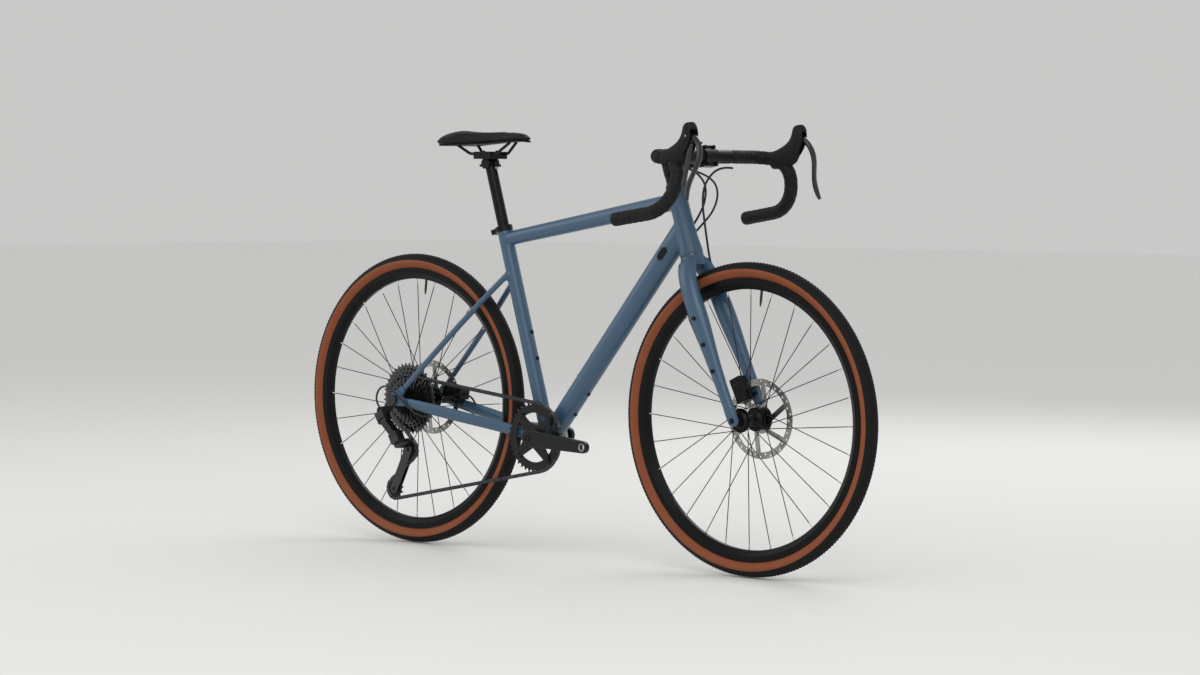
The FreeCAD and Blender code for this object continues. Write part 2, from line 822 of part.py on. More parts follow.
# Seat clamp: a split collar on the seat tube's neck, with its bolt behind
collar_base = seat_top + step(seat_axis, s.seat_gap)
collar_ring = turned("CollarRing", [
    (s.seat_neck_radius + s.running_clearance, 0), (s.collar_radius, 0),
    (s.collar_radius, s.collar_height), (s.post_radius + s.side_gap, s.collar_height),
    (s.post_radius + s.side_gap, s.seat_neck_height), (s.seat_neck_radius + s.running_clearance,
                                                       s.seat_neck_height),
], collar_base, seat_axis)
lug_reach = s.collar_radius + s.collar_lug / 2
lug_centre = collar_base + step(seat_axis, s.collar_height / 2) - step(seat_front, lug_reach)
collar_lug = block("CollarLug", s.collar_lug * 2, s.collar_radius, s.collar_height, lug_centre, seat_front,
                   seat_axis)
collar_core = cylinder("CollarCore", s.seat_neck_radius + s.running_clearance, s.collar_height,
                       collar_base, seat_axis)
collar_slit = block("CollarSlit", s.collar_lug * 4, s.collar_slit, s.collar_height * 2, lug_centre,
                    seat_front, seat_axis)
bolt_line = lug_centre - step(seat_front, s.collar_lug / 4)
bolt_start = bolt_line - step(ACROSS, s.collar_radius)
collar_hole = cylinder("CollarHole", s.collar_bolt_radius + s.running_clearance, s.collar_radius * 2,
                       bolt_start, ACROSS)
collar = cut("Collar", fused("CollarBlank", [collar_ring, cut("CollarEars", collar_lug, collar_core)]),
             collar_slit, collar_hole)
half_lug = s.collar_radius / 2
collar_shank = cylinder("CollarShank", s.collar_bolt_radius, s.collar_radius,
                        bolt_line - step(ACROSS, half_lug), ACROSS)
collar_head = cylinder("CollarHead", s.collar_bolt_head_radius, s.bolt_head_height,
                       bolt_line + step(ACROSS, half_lug), ACROSS)
keep(grouped("SeatClamp", [collar, fused("CollarBolt", [collar_shank, collar_head])]), "seat_clamp")


def button(name, surface_point, outward, sunk):
    """Round bolt head that starts below a tube's skin and ends proud of it."""
    return cylinder(name, s.bolt_head_radius, s.bolt_head_height + sunk,
                    surface_point - step(outward, sunk), outward)


# Bottle bolts on the seat tube and the down tube, and the down tube's cable port plug
down_top = -down_under
fittings = []
for number in range(2):
    height = s.seat_boss_height + s.boss_pitch * number
    point = bracket + step(seat_axis, height) + step(seat_front, s.seat_tube_radius)
    fittings.append(cut(f"SeatBoss{number}", button(f"SeatBolt{number}", point, seat_front, s.tube_wall),
                        seat_envelope))
    for outward, reach, tag in ((down_top, s.down_boss_reach, "Top"),
                                (down_under, s.under_boss_reach, "Under")):
        place = down_low + step(down_axis, reach + s.boss_pitch * number)
        point = place + step(outward, s.down_tube_low_half_height)
        fittings.append(cut(f"DownBoss{tag}{number}",
                            button(f"DownBolt{tag}{number}", point, outward, s.tube_wall * 2),
                            down_outside))
port_height = (down_high - down_low).Length - float(s.port_drop)
port_centre = down_low + step(down_axis, port_height)
for side in (-1, 1):
    hand = "RL"[side > 0]
    outward = ACROSS * side
    start = port_centre - step(down_axis, s.port_length / 2) + step(outward, s.down_tube_head_half_width / 2)
    plug = strap(f"PortPlug{hand}", facing(start, down_axis, outward), s.port_length - s.port_width,
                 s.port_width / 2, s.port_width / 2 - s.running_clearance,
                 s.down_tube_head_half_width / 2 + s.port_rise)
    fittings.append(cut(f"Port{hand}", plug, down_outside))
keep(grouped("FrameFittings", fittings), "frame_fittings")

# Headset bearings and bottom bracket cups with their bearings
bearings = []
for name, base, outer, inner, height in (
        ("LowBearing", head_low + step(head_axis, s.seat_gap), s.low_bearing_radius,
         s.steerer_low_radius, s.low_bearing_height - s.seat_gap),
        ("TopBearing", head_low + step(head_axis, top_shelf), s.top_bearing_radius,
         s.steerer_radius, s.top_bearing_height)):
    bore = inner + s.running_clearance
    bearings.append(turned(name, [(bore, 0), (outer, 0), (outer, height), (bore, height)], base, head_axis))
for side in (-1, 1):
    hand = "RL"[side > 0]
    outward = ACROSS * side
    base = bracket + step(outward, half_shell - s.cup_thread_length)
    flange = s.cup_thread_length + s.cup_width
    pocket = flange - s.cup_bearing_width - s.side_gap
    seat = s.cup_bearing_radius + s.running_clearance
    throat = s.spindle_radius + s.tube_wall
    bearings.append(turned(f"Cup{hand}", [
        (throat, 0), (s.cup_thread_radius, 0), (s.cup_thread_radius, s.cup_thread_length),
        (s.cup_radius, s.cup_thread_length), (s.cup_radius, flange), (seat, flange), (seat, pocket),
        (throat, pocket)], base, outward))
    bore = s.spindle_radius + s.running_clearance
    bearings.append(turned(f"CupBearing{hand}", [
        (bore, 0), (s.cup_bearing_radius, 0), (s.cup_bearing_radius, s.cup_bearing_width),
        (bore, s.cup_bearing_width)], base + step(outward, pocket), outward))
keep(grouped("FrameBearings", bearings), "frame_bearings")


def thru_axle(name, centre, half_width, plate):
    """Straight axle from the right plate's outside to its head on the left."""
    reach = half_width + plate
    shank = cylinder(name + "Shank", s.axle_radius, reach * 2, centre - step(ACROSS, reach), ACROSS)
    head = cylinder(name + "Head", s.axle_head_radius, s.axle_head_height, centre + step(ACROSS, reach),
                    ACROSS)
    return fused(name, [shank, head])


keep(thru_axle("RearAxle", rear_axle, half_rear, s.dropout_thickness), "rear_axle")

# Fork: tapered steerer with its crown, and two legs
crown_low = s.fork_length - s.crown_depth
steerer_top = (s.fork_length + s.head_tube_gap + s.head_tube_length + s.headset_cover_height
               + s.spacer_height * 2 + s.stem_clamp_height + s.seat_gap * 4)
steerer = turned("ForkSteerer", [
    (0, crown_low), (s.crown_low_radius, crown_low),
    (s.head_tube_low_radius, s.fork_length - s.head_tube_skirt), (s.head_tube_low_radius, s.fork_length),
    (s.steerer_low_radius, s.fork_length), (s.steerer_low_radius, s.fork_length + s.steerer_taper_start),
    (s.steerer_radius, s.fork_length + s.steerer_taper_end), (s.steerer_radius, steerer_top - s.cap_height),
    (s.steerer_bore, steerer_top - s.cap_height), (s.steerer_bore, s.fork_length), (0, s.fork_length),
], steer_foot, head_axis)
keep(steerer, "fork_steerer")

# A station of a leg: how far it is from crown to axle, how far out it stands, and its two half sizes
LEG_SHARES = ((0.0, 0.42, 1.0, 1.0), (0.09, 0.8, 1.0, 1.0), (0.22, 1.0, 1.0, 1.0), (0.36, 1.06, 1.0, 1.0),
              (0.56, 1.13, 0.78, 0.8), (0.86, 1.19, 0.61, 0.6), (1.0, 1.22, 0.44, 0.54))
leg_start = steer_foot + step(head_axis, s.fork_length - s.head_tube_skirt)
leg_run = front_axle - leg_start
leg_axis = unit(leg_run)
leg_plate = s.leg_tip_half_width * 2
legs = []
for side in (-1, 1):
    hand = "RL"[side > 0]
    outward = ACROSS * side
    stations = [(leg_start + leg_run * down + step(outward, s.leg_shoulder_side * out), leg_axis, ACROSS,
                 s.leg_top_half_width * wide, s.leg_top_half_depth * deep)
                for down, out, wide, deep in LEG_SHARES]
    tip = strap(f"LegTip{hand}", facing(front_axle + step(outward, half_front), -leg_axis, outward),
                s.leg_tip_half_depth * 2, s.leg_tip_half_depth, s.leg_tip_half_depth - s.running_clearance,
                s.leg_tip_half_width * 2)
    middle = block(f"LegMiddle{hand}", s.fork_length * 2, s.fork_length, s.fork_length * 2,
                   front_axle - step(ACROSS * side, s.fork_length / 2), FORWARD, UP)
    hub_space = cylinder(f"LegHubSpace{hand}", s.rotor_radius, half_front, front_axle, ACROSS * side)
    hole = cylinder(f"LegHole{hand}", s.axle_radius + s.running_clearance, half_front * 2, front_axle,
                    ACROSS * side)
    head_space = cylinder(f"LegHeadSpace{hand}", s.axle_head_radius + s.side_gap, half_front,
                          front_axle + step(ACROSS * side, half_front + leg_plate), ACROSS * side)
    blade = fused(f"LegBlank{hand}", [lofted(f"LegLoft{hand}", stations, False), tip])
    legs.append(cut(f"Leg{hand}", blade, steerer, middle, hub_space, hole, head_space))
keep(grouped("ForkLegs", legs), "fork_legs")
keep(thru_axle("FrontAxle", front_axle, half_front, leg_plate), "front_axle")

# Headset cover and two spacers on the steerer
stack = []
spacer_bore = s.steerer_radius + s.running_clearance
cover_base = head_top + step(head_axis, s.seat_gap)
stack.append(turned("HeadsetCover", [
    (spacer_bore, 0), (s.head_tube_top_radius, 0), (s.spacer_radius, s.headset_cover_height),
    (spacer_bore, s.headset_cover_height)], cover_base, head_axis))
for number in range(2):
    base = cover_base + step(head_axis, s.headset_cover_height + s.spacer_height * number)
    stack.append(turned(f"Spacer{number}", [
        (spacer_bore, 0), (s.spacer_radius, 0), (s.spacer_radius, s.spacer_height),
        (spacer_bore, s.spacer_height)], base, head_axis))
keep(grouped("HeadsetSpacers", stack), "headset_spacers")

# Stem, faceplate, bolts and cap
stem_base = cover_base + step(head_axis, s.headset_cover_height + s.spacer_height * 2)
stem_centre = stem_base + step(head_axis, s.stem_clamp_height / 2)
stem_axis = turned_by(-s.stem_rise_angle, ACROSS).multVec(FORWARD)
stem_up = stem_axis.cross(ACROSS)
bar_centre = stem_centre + step(stem_axis, s.stem_length)
clamp_radius = s.bar_clamp_radius + s.bar_clamp_wall
half_clamp = s.bar_clamp_width / 2
clamp_start = bar_centre - step(ACROSS, half_clamp)
stem_clamp = cylinder("StemClamp", s.stem_clamp_radius, s.stem_clamp_height, stem_base, head_axis)
stem_beam = lofted("StemBeam", [
    (stem_centre, stem_axis, ACROSS, s.stem_half_width, s.stem_half_height),
    (bar_centre - step(stem_axis, s.bar_clamp_radius), stem_axis, ACROSS, s.stem_half_width,
     s.stem_half_height)], False)
bar_barrel = cylinder("BarBarrel", clamp_radius, s.bar_clamp_width, clamp_start, ACROSS)
ears_height = clamp_radius * 2 + s.ear_height
bar_ears = block("BarEars", s.ear_depth * 2, s.bar_clamp_width, ears_height, bar_centre, stem_axis, stem_up)
bar_hole = cylinder("BarHole", s.bar_clamp_radius + s.running_clearance, s.bar_clamp_width * 2,
                    bar_centre - step(ACROSS, s.bar_clamp_width), ACROSS)
steerer_hole = cylinder("SteererHole", s.steerer_radius + s.running_clearance, s.stem_clamp_height * 2,
                        stem_centre - step(head_axis, s.stem_clamp_height), head_axis)
clamp_block = fused("ClampBlock", [bar_barrel, bar_ears])
front_half = block("FrontHalf", s.stem_length, s.stem_length, s.stem_length,
                   bar_centre + step(stem_axis, s.stem_length / 2), stem_axis, stem_up)
back_half = block("BackHalf", s.stem_length, s.stem_length, s.stem_length,
                  bar_centre + step(stem_axis, s.faceplate_gap - s.stem_length / 2), stem_axis, stem_up)
stem = cut("Stem", fused("StemBlank", [stem_clamp, stem_beam, clamp_block]), front_half, bar_hole,
           steerer_hole)
keep(stem, "stem")
bolts, bolt_rooms = [], []
for side in (-1, 1):
    for level in (-1, 1):
        centre = (bar_centre + step(stem_axis, s.ear_depth) + step(ACROSS * side, half_clamp - s.ear_height)
                  + step(stem_up * level, clamp_radius - s.running_clearance))
        bolts.append(cylinder(f"FaceBolt{side}{level}", s.collar_bolt_head_radius, s.bolt_head_height,
                              centre, stem_axis))
        bolt_rooms.append(cylinder(f"FaceBoltRoom{side}{level}", s.collar_bolt_head_radius + s.seat_gap,
                                   s.ear_depth, centre, stem_axis))
keep(cut("Faceplate", clamp_block, back_half, bar_hole, *bolt_rooms), "stem_faceplate")
cap_base = stem_base + step(head_axis, s.stem_clamp_height)
stem_cap = cylinder("StemCap", s.cap_radius, s.cap_height, cap_base, head_axis)
cap_bolt = cylinder("CapBolt", s.bolt_head_radius, s.bolt_head_height,
                    cap_base + step(head_axis, s.cap_height), head_axis)
bolts += [stem_cap, cap_bolt]
for side, leg in zip((-1, 1), legs):
    for number in range(3):
        down = LEG_SHARES[3][0] + float(s.cargo_pitch * number) / leg_run.Length
        point = leg_start + leg_run * down + step(ACROSS * side, s.leg_side - s.bolt_head_height)
        stud = cylinder(f"CargoBolt{side}{number}", s.bolt_head_radius, s.leg_top_half_width, point,
                        ACROSS * side)
        bolts.append(cut(f"Cargo{side}{number}", stud, leg))
keep(grouped("SteeringBolts", bolts), "steering_bolts")

# Handlebar: a drop bar, one path for each half, with tape over it
bars, tapes, hoods, levers, tape_solids = [], [], [], [], []
half_bar_paths = {}
for side in (-1, 1):
    out = ACROSS * side
    corner = bar_centre + step(out, s.bar_half_width)
    ramp_end = corner + step(FORWARD, s.bar_reach) - step(UP, s.bar_ramp_drop)
    hook = ramp_end + step(out, s.bar_flare) - step(UP, s.bar_drop - s.bar_ramp_drop) - step(
        FORWARD, s.bar_ramp_drop)
    end = hook - step(FORWARD, s.bar_hook_length) - step(UP, s.bar_end_drop) + step(out, s.bar_flare / 2)
    radii = (s.bar_shoulder_radius, s.bar_upper_radius, s.bar_lower_radius)
    half_bar_paths[side] = ([corner, ramp_end, hook, end], radii)
for side in (-1, 1):
    hand = "RL"[side > 0]
    points, radii = half_bar_paths[side]
    bar_half = swept(f"BarHalf{hand}", rounded_path([bar_centre] + points, radii), s.bar_radius)
    bars.append(bar_half)
    tape_from = bar_centre + step(ACROSS * side, s.tape_start)
    tape_wire = rounded_path([tape_from] + points, radii)
    tape_blank = swept(f"TapeBlank{hand}", tape_wire, s.bar_radius + s.tape_thickness)
    tape_solids.append(tape_blank)
    tapes.append(cut(f"Tape{hand}", tape_blank, bar_half))
    end_axis = unit(points[-1] - points[-2])
    tapes.append(cone(f"BarPlug{hand}", s.bar_radius + s.tape_thickness, s.bar_radius, s.plug_length,
                      points[-1], end_axis))
bar_middle = cylinder("BarMiddle", s.bar_clamp_radius, s.bar_clamp_reach * 2,
                      bar_centre - step(ACROSS, s.bar_clamp_reach), ACROSS)
keep(fused("Handlebar", bars + [bar_middle]), "handlebar")
keep(grouped("BarTape", tapes), "bar_tape")

# Brake hoods: a station is its place along and above the ramp's end, its tilt and its half sizes
HOOD_SHARES = ((-0.32, 0.02, 10.0, 1.0, 0.24), (0.0, 0.06, 14.0, 1.05, 0.27),
               (0.36, 0.2, 32.0, 0.98, 0.29), (0.61, 0.46, 62.0, 0.9, 0.26),
               (0.69, 0.72, 80.0, 0.9, 0.22), (0.67, 0.88, 96.0, 0.74, 0.17),
               (0.66, 0.95, 98.0, 0.4, 0.1))
# Points of a lever's blade below its pivot, with its two half sizes
LEVER_SHARES = ((0.0, -0.02, 0.0, 1.0, 1.5), (0.12, 0.75, 0.04, 1.05, 1.3), (0.34, 1.0, 0.2, 1.0, 1.1),
                (0.7, 0.68, 0.62, 0.95, 0.95), (0.92, 0.7, 0.92, 0.9, 0.85), (1.0, 0.8, 1.0, 0.6, 0.6))
for side in (-1, 1):
    hand = "RL"[side > 0]
    out = ACROSS * side
    ramp_end = half_bar_paths[side][0][1]
    pivot = (bar_centre + step(out, s.bar_half_width + s.lever_side) + step(FORWARD, s.lever_pivot_reach)
             + step(UP, s.lever_pivot_rise))
    stations = []
    for ahead, above, tilt, wide, tall in HOOD_SHARES:
        centre = (ramp_end + step(FORWARD, s.hood_length * ahead) - step(FORWARD, s.hood_back)
                  + step(UP, s.hood_height * above) + step(out, s.lever_side * max(ahead, 0)))
        normal = turned_by(-tilt, ACROSS).multVec(FORWARD)
        stations.append((centre, normal, ACROSS, s.hood_half_width * wide, s.hood_height * tall))
    hood_blank = lofted(f"HoodLoft{hand}", stations, False)
    slot_width = s.lever_boss_width + s.lever_slot_gap * 2
    slot_length = s.lever_drop
    slot_centre = (pivot + step(FORWARD, slot_length / 2 - s.lever_boss_radius - s.lever_slot_gap)
                   - step(UP, slot_length / 2 - s.lever_boss_radius * 2))
    slot = block(f"LeverSlot{hand}", slot_length, slot_width, slot_length, slot_centre, FORWARD, UP)
    pin = cylinder(f"LeverPin{hand}", s.lever_pin_radius, slot_width + s.overrun * 2,
                   pivot - step(ACROSS, slot_width / 2 + s.overrun), ACROSS)
    hollow = cut(f"HoodHollow{hand}", hood_blank, tape_solids[side > 0], slot)
    hoods.append(fused(f"Hood{hand}", [hollow, pin]))
    stations = []
    path = [pivot + step(FORWARD, s.lever_bow * ahead) - step(UP, s.lever_drop * down)
            + step(out, s.lever_flare * flare) for down, ahead, flare, wide, thick in LEVER_SHARES]
    for number, (down, ahead, flare, wide, thick) in enumerate(LEVER_SHARES):
        before, after = path[max(number - 1, 0)], path[min(number + 1, len(path) - 1)]
        stations.append((path[number], unit(after - before), ACROSS, s.lever_half_width * wide,
                         s.lever_half_thickness * thick))
    blade = lofted(f"LeverLoft{hand}", stations)
    boss = cylinder(f"LeverBoss{hand}", s.lever_boss_radius, s.lever_boss_width,
                    pivot - step(ACROSS, s.lever_boss_width / 2), ACROSS)
    bore = cylinder(f"LeverBore{hand}", s.lever_pin_radius + s.running_clearance, s.lever_boss_width * 2,
                    pivot - step(ACROSS, s.lever_boss_width), ACROSS)
    levers.append((cut(f"Lever{hand}", fused(f"LeverBlank{hand}", [blade, boss]), bore), path, pivot))

# Shift paddle behind the right lever, on a pin that the lever carries; the hood leaves its travel free
PADDLE_FLARE_SHARE = 0.62
right_lever, right_path, right_pivot = levers[0]
paddle_pivot = right_pivot - step(UP, s.paddle_drop) + step(FORWARD, s.lever_bow / 2 - s.paddle_setback)
paddle_foot = (paddle_pivot - step(UP, s.paddle_length)
               - step(ACROSS, s.lever_flare * PADDLE_FLARE_SHARE))
paddle_line = paddle_foot - paddle_pivot
travel_depth = s.paddle_travel + s.paddle_thickness
travel_centre = (paddle_pivot + paddle_line * 0.5
                 + step(FORWARD, s.paddle_thickness + s.side_gap - travel_depth / 2))
paddle_travel = block("PaddleTravel", measured(paddle_line.Length), (s.paddle_half_width + s.side_gap) * 2,
                      travel_depth, travel_centre, unit(paddle_line), FORWARD)
hoods[0] = cut("HoodBesidePaddle", hoods[0], paddle_travel)
keep(grouped("BrakeHoods", hoods), "brake_hoods")
paddle = strap("Paddle", facing(paddle_pivot, unit(paddle_line), FORWARD), measured(paddle_line.Length),
               s.paddle_half_width - s.running_clearance, s.paddle_half_width, s.paddle_thickness,
               [(0, s.paddle_pin_radius + s.running_clearance)])
keep(paddle, "shift_paddle")
paddle_pin = cylinder("PaddlePin", s.paddle_pin_radius, s.lever_bow, paddle_pivot - step(
    FORWARD, s.paddle_thickness / 2), FORWARD)
paddle_room = cylinder("PaddleRoom", s.paddle_half_width * 2, s.lever_bow, paddle_pivot + step(
    FORWARD, s.paddle_thickness + s.side_gap - s.lever_bow), FORWARD)
keep(fused("LeverR", [cut("LeverRoom", right_lever, paddle_room), paddle_pin]), "brake_lever_right")
keep(levers[1][0], "brake_lever_left")


class Wheel:
    """Points and sizes of one wheel's hub, for the pieces that stand around it."""

    def __init__(self, name, axle, half_width, flanges, flange_radius, rotor_side):
        self.name = name
        self.axle = axle
        self.half_width = half_width
        self.flanges = flanges
        self.flange_radius = flange_radius
        self.rotor_side = rotor_side


front_wheel = Wheel("Front", front_axle, half_front - s.side_gap,
                    (s.front_right_flange, s.front_left_flange), s.front_flange_radius, s.front_rotor_side)
rear_wheel = Wheel("Rear", rear_axle, half_rear - s.side_gap,
                   (s.rear_right_flange, s.rear_left_flange), s.rear_flange_radius, s.rear_rotor_side)
bead_radius = s.bead_diameter / 2
rim_top = bead_radius + s.rim_flange
rim_low = rim_top - s.rim_depth
hub_bore = s.axle_radius + s.running_clearance
half_flange = s.flange_thickness / 2
TYRE_VIA_SHARES = (0.607, 0.267)


def polar(wheel, radius, degrees, side):
    """Point around an axle: the angle runs from forward towards up."""
    angle = math.radians(degrees)
    return wheel.axle + Vector(float(radius) * math.cos(angle), float(side), float(radius) * math.sin(angle))


BEAD_WALL_SHARE = 1.4


def tyre(wheel):
    width, centre = s.tyre_width, s.tyre_width / 2
    belly = wheel_radius - centre
    lip = rim_top + s.bead_fit * 2
    foot = bead_radius + s.bead_fit
    edge = centre - s.rim_inner_width / 2 + s.bead_fit
    inside = edge + s.tyre_wall * BEAD_WALL_SHARE
    via = (lip + (belly - lip) * TYRE_VIA_SHARES[0], edge * TYRE_VIA_SHARES[1])
    diagonal = centre * DIAGONAL
    crown = wheel_radius - s.tread_thickness
    inner_rise, inner_half = (crown - belly) * DIAGONAL, (centre - s.tyre_wall) * DIAGONAL
    corners = [
        (foot, edge), (lip, edge, via[0], via[1]),
        (belly, 0, belly + diagonal, centre - diagonal),
        (wheel_radius, centre, belly + diagonal, centre + diagonal),
        (belly, width, via[0], width - via[1]),
        (lip, width - edge), (foot, width - edge), (foot, width - inside), (lip, width - inside),
        (belly, width - s.tyre_wall, belly + inner_rise, centre + inner_half),
        (crown, centre, belly + inner_rise, centre - inner_half),
        (belly, s.tyre_wall), (lip, inside), (foot, inside),
    ]
    return turned(wheel.name + "Tyre", corners, wheel.axle - step(ACROSS, centre), ACROSS)


def rim(wheel):
    width, centre = s.rim_width, s.rim_width / 2
    lip = (width - s.rim_inner_width) / 2
    nose = s.rim_nose_width / 2
    shelf = lip + s.rim_well
    well = bead_radius - s.rim_well
    shoulder = rim_low + (rim_top - rim_low) * STAY_MID_SHARE
    inner_nose = nose - s.rim_wall / 2
    corners = [
        (rim_top, 0), (rim_top, lip), (bead_radius, lip), (bead_radius, shelf),
        (well, shelf + s.rim_well / 2), (well, width - shelf - s.rim_well / 2),
        (bead_radius, width - shelf), (bead_radius, width - lip),
        (rim_top, width - lip), (rim_top, width), (shoulder, width),
        (rim_low, centre + nose), (rim_low, centre - nose), (shoulder, 0),
    ]
    hollow = [
        (well - s.rim_wall, s.rim_wall * 2), (well - s.rim_wall, width - s.rim_wall * 2),
        (shoulder, width - s.rim_wall), (rim_low + s.rim_wall, centre + inner_nose),
        (rim_low + s.rim_wall, centre - inner_nose), (shoulder, s.rim_wall),
    ]
    hoop = turned(wheel.name + "Hoop", corners, wheel.axle - step(ACROSS, centre), ACROSS, hollow)
    inward = unit(wheel.axle - polar(wheel, rim_low, VALVE_DEGREES, 0))
    start = polar(wheel, rim_low - s.running_clearance, VALVE_DEGREES, 0)
    stem_tip = start + step(inward, s.valve_length)
    valve = fused(wheel.name + "Valve", [
        cylinder(wheel.name + "ValveStem", s.valve_radius, s.valve_length, start, inward),
        cone(wheel.name + "ValveCap", s.valve_radius, s.valve_radius / 2, s.valve_length / 2, stem_tip,
             inward)])
    return grouped(wheel.name + "Rim", [hoop, valve])


VALVE_DEGREES = FULL_TURN / 4 - FULL_TURN / s.spokes_per_side.value / 4
SPOKE_HEAD_SHARE = 1.9
NIPPLE_TIP_SHARE = 0.75


def spokes(wheel):
    """Laced spokes: each side's spokes lean forward and backward in turn."""
    count = int(s.spokes_per_side.value)
    pitch = FULL_TURN / count
    made = []
    for side, flange in zip((-1, 1), wheel.flanges):
        for number in range(count):
            name = f"{wheel.name}Spoke{'RL'[side > 0]}{number}"
            lean = 1 if number % 2 else -1
            rim_angle = (number + (side + 1) / 4) * pitch
            hub_angle = rim_angle + lean * s.spoke_crosses.value * pitch
            offset = half_flange + s.spoke_radius + s.spoke_gap
            start = polar(wheel, wheel.flange_radius, hub_angle, (flange + offset * lean) * side)
            seat = polar(wheel, rim_low - s.nipple_gap, rim_angle, s.spoke_rim_stagger * side)
            line = unit(seat - start)
            end = seat - step(line, s.nipple_length)
            shaft = cylinder(name + "Shaft", s.spoke_radius, (end - start).Length, start, line)
            inward = ACROSS * (-side * lean)
            elbow = cylinder(name + "Elbow", s.spoke_radius, offset * 2 - s.spoke_radius, start, inward)
            head = cylinder(name + "Head", s.spoke_radius * SPOKE_HEAD_SHARE, s.spoke_radius,
                            start + step(inward, offset * 2 - s.spoke_radius), inward)
            made.append(fused(name, [shaft, elbow, head]))
            made.append(cone(name + "Nipple", s.nipple_radius * NIPPLE_TIP_SHARE, s.nipple_radius,
                             s.nipple_length, end, line))
    return grouped(wheel.name + "Spokes", made)


def hub(wheel, right_end):
    """Hub shell; right_end gives the corners between its right cap and its right flange."""
    half = wheel.half_width
    right = half - wheel.flanges[0]
    left = half + wheel.flanges[1]
    edge = wheel.flange_radius + s.flange_edge
    root = wheel.flange_radius - s.flange_edge
    rotor_place = half + wheel.rotor_side
    boss = s.rotor_bore - s.running_clearance
    shell = turned(wheel.name + "HubShell", [
        (hub_bore, 0), (s.hub_cap_radius, 0), *right_end(right), (root, right - half_flange),
        (edge, right - half_flange), (edge, right + half_flange), (root, right + half_flange),
        (s.hub_barrel_radius, right + s.flange_edge * 3), (s.hub_barrel_radius, left - s.flange_edge * 3),
        (root, left - half_flange), (edge, left - half_flange), (edge, left + half_flange),
        (root, left + half_flange), (boss, left + s.flange_edge * 2),
        (boss, rotor_place + s.rotor_thickness * 2),
        (s.hub_cap_radius, rotor_place + s.rotor_thickness * 2), (s.hub_cap_radius, half * 2),
        (hub_bore, half * 2),
    ], wheel.axle - step(ACROSS, half), ACROSS)
    holes = []
    pitch = FULL_TURN / s.spokes_per_side.value
    for side, flange in zip((-1, 1), wheel.flanges):
        for number in range(int(s.spokes_per_side.value)):
            angle = (number + (side + 1) / 4) * pitch
            start = polar(wheel, wheel.flange_radius, angle, flange * side - s.flange_edge)
            holes.append(cylinder(f"{wheel.name}Hole{'RL'[side > 0]}{number}",
                                  s.spoke_radius + s.running_clearance, s.flange_edge * 2, start, ACROSS))
    return cut(wheel.name + "Hub", shell, grouped(wheel.name + "Holes", holes))


ROTOR_SWEEP = 26.0
ROTOR_LOCK_SHARE = 0.64
ROTOR_ROOT_SHARE = 0.8
ROTOR_HOLE_SHARES = (0.32, 0.68)


def rotor(wheel):
    """Drilled brake ring on swept arms, with its lock ring."""
    half = s.rotor_thickness / 2
    base = wheel.axle + step(ACROSS, wheel.rotor_side - half)
    inner = s.rotor_radius - s.rotor_track
    name = wheel.name + "Rotor"
    disc = cylinder(name + "Disc", s.rotor_radius, s.rotor_thickness, base, ACROSS)
    inside = cylinder(name + "Inside", inner, s.rotor_thickness, base, ACROSS)
    parts = [cut(name + "Ring", disc, inside),
             cylinder(name + "Carrier", s.rotor_carrier_radius, s.rotor_thickness, base, ACROSS)]
    for number in range(int(s.rotor_arms.value)):
        angle = FULL_TURN / s.rotor_arms.value * number
        low = polar(wheel, s.rotor_carrier_radius * ROTOR_ROOT_SHARE, angle, wheel.rotor_side)
        high = polar(wheel, inner + s.rotor_track / 4, angle + ROTOR_SWEEP, wheel.rotor_side)
        parts.append(block(f"{name}Arm{number}", (high - low).Length, s.rotor_arm_width, s.rotor_thickness,
                           (low + high) * 0.5, unit(high - low), ACROSS))
    holes = [cylinder(name + "Bore", s.rotor_bore, s.rotor_thickness * 2, base - step(ACROSS, half), ACROSS)]
    for number in range(int(s.rotor_holes.value)):
        radius = inner + s.rotor_track * ROTOR_HOLE_SHARES[number % 2]
        start = polar(wheel, radius, FULL_TURN / s.rotor_holes.value * number,
                      wheel.rotor_side - s.rotor_thickness)
        holes.append(cylinder(f"{name}Hole{number}", s.rotor_hole_radius, s.rotor_thickness * 2, start,
                              ACROSS))
    plate = cut(name, fused(name + "Blank", parts), grouped(name + "Holes", holes))
    lock = s.rotor_carrier_radius * ROTOR_LOCK_SHARE
    ring = turned(name + "Lock", [
        (s.rotor_bore, 0), (lock, 0), (lock, s.flange_thickness), (s.rotor_bore, s.flange_thickness),
    ], base + step(ACROSS, s.rotor_thickness), ACROSS)
    return grouped(name + "Set", [plate, ring])


def front_right_end(right):
    return [(s.hub_cap_radius, s.hub_cap_length), (s.hub_end_radius, s.hub_cap_length),
            (s.hub_end_radius, right - s.flange_edge * 2)]


def rear_right_end(right):
    spigot = s.hub_cap_radius - s.tube_wall / 2
    return [(s.hub_cap_radius, s.hub_cap_length), (spigot, s.hub_cap_length), (spigot, right - half_flange)]


for wheel, right_end in ((front_wheel, front_right_end), (rear_wheel, rear_right_end)):
    prefix = wheel.name.lower()
    keep(tyre(wheel), prefix + "_tyre")
    keep(rim(wheel), prefix + "_rim")
    keep(hub(wheel, right_end), prefix + "_hub")
    keep(spokes(wheel), prefix + "_spokes")
    keep(rotor(wheel), prefix + "_rotor")


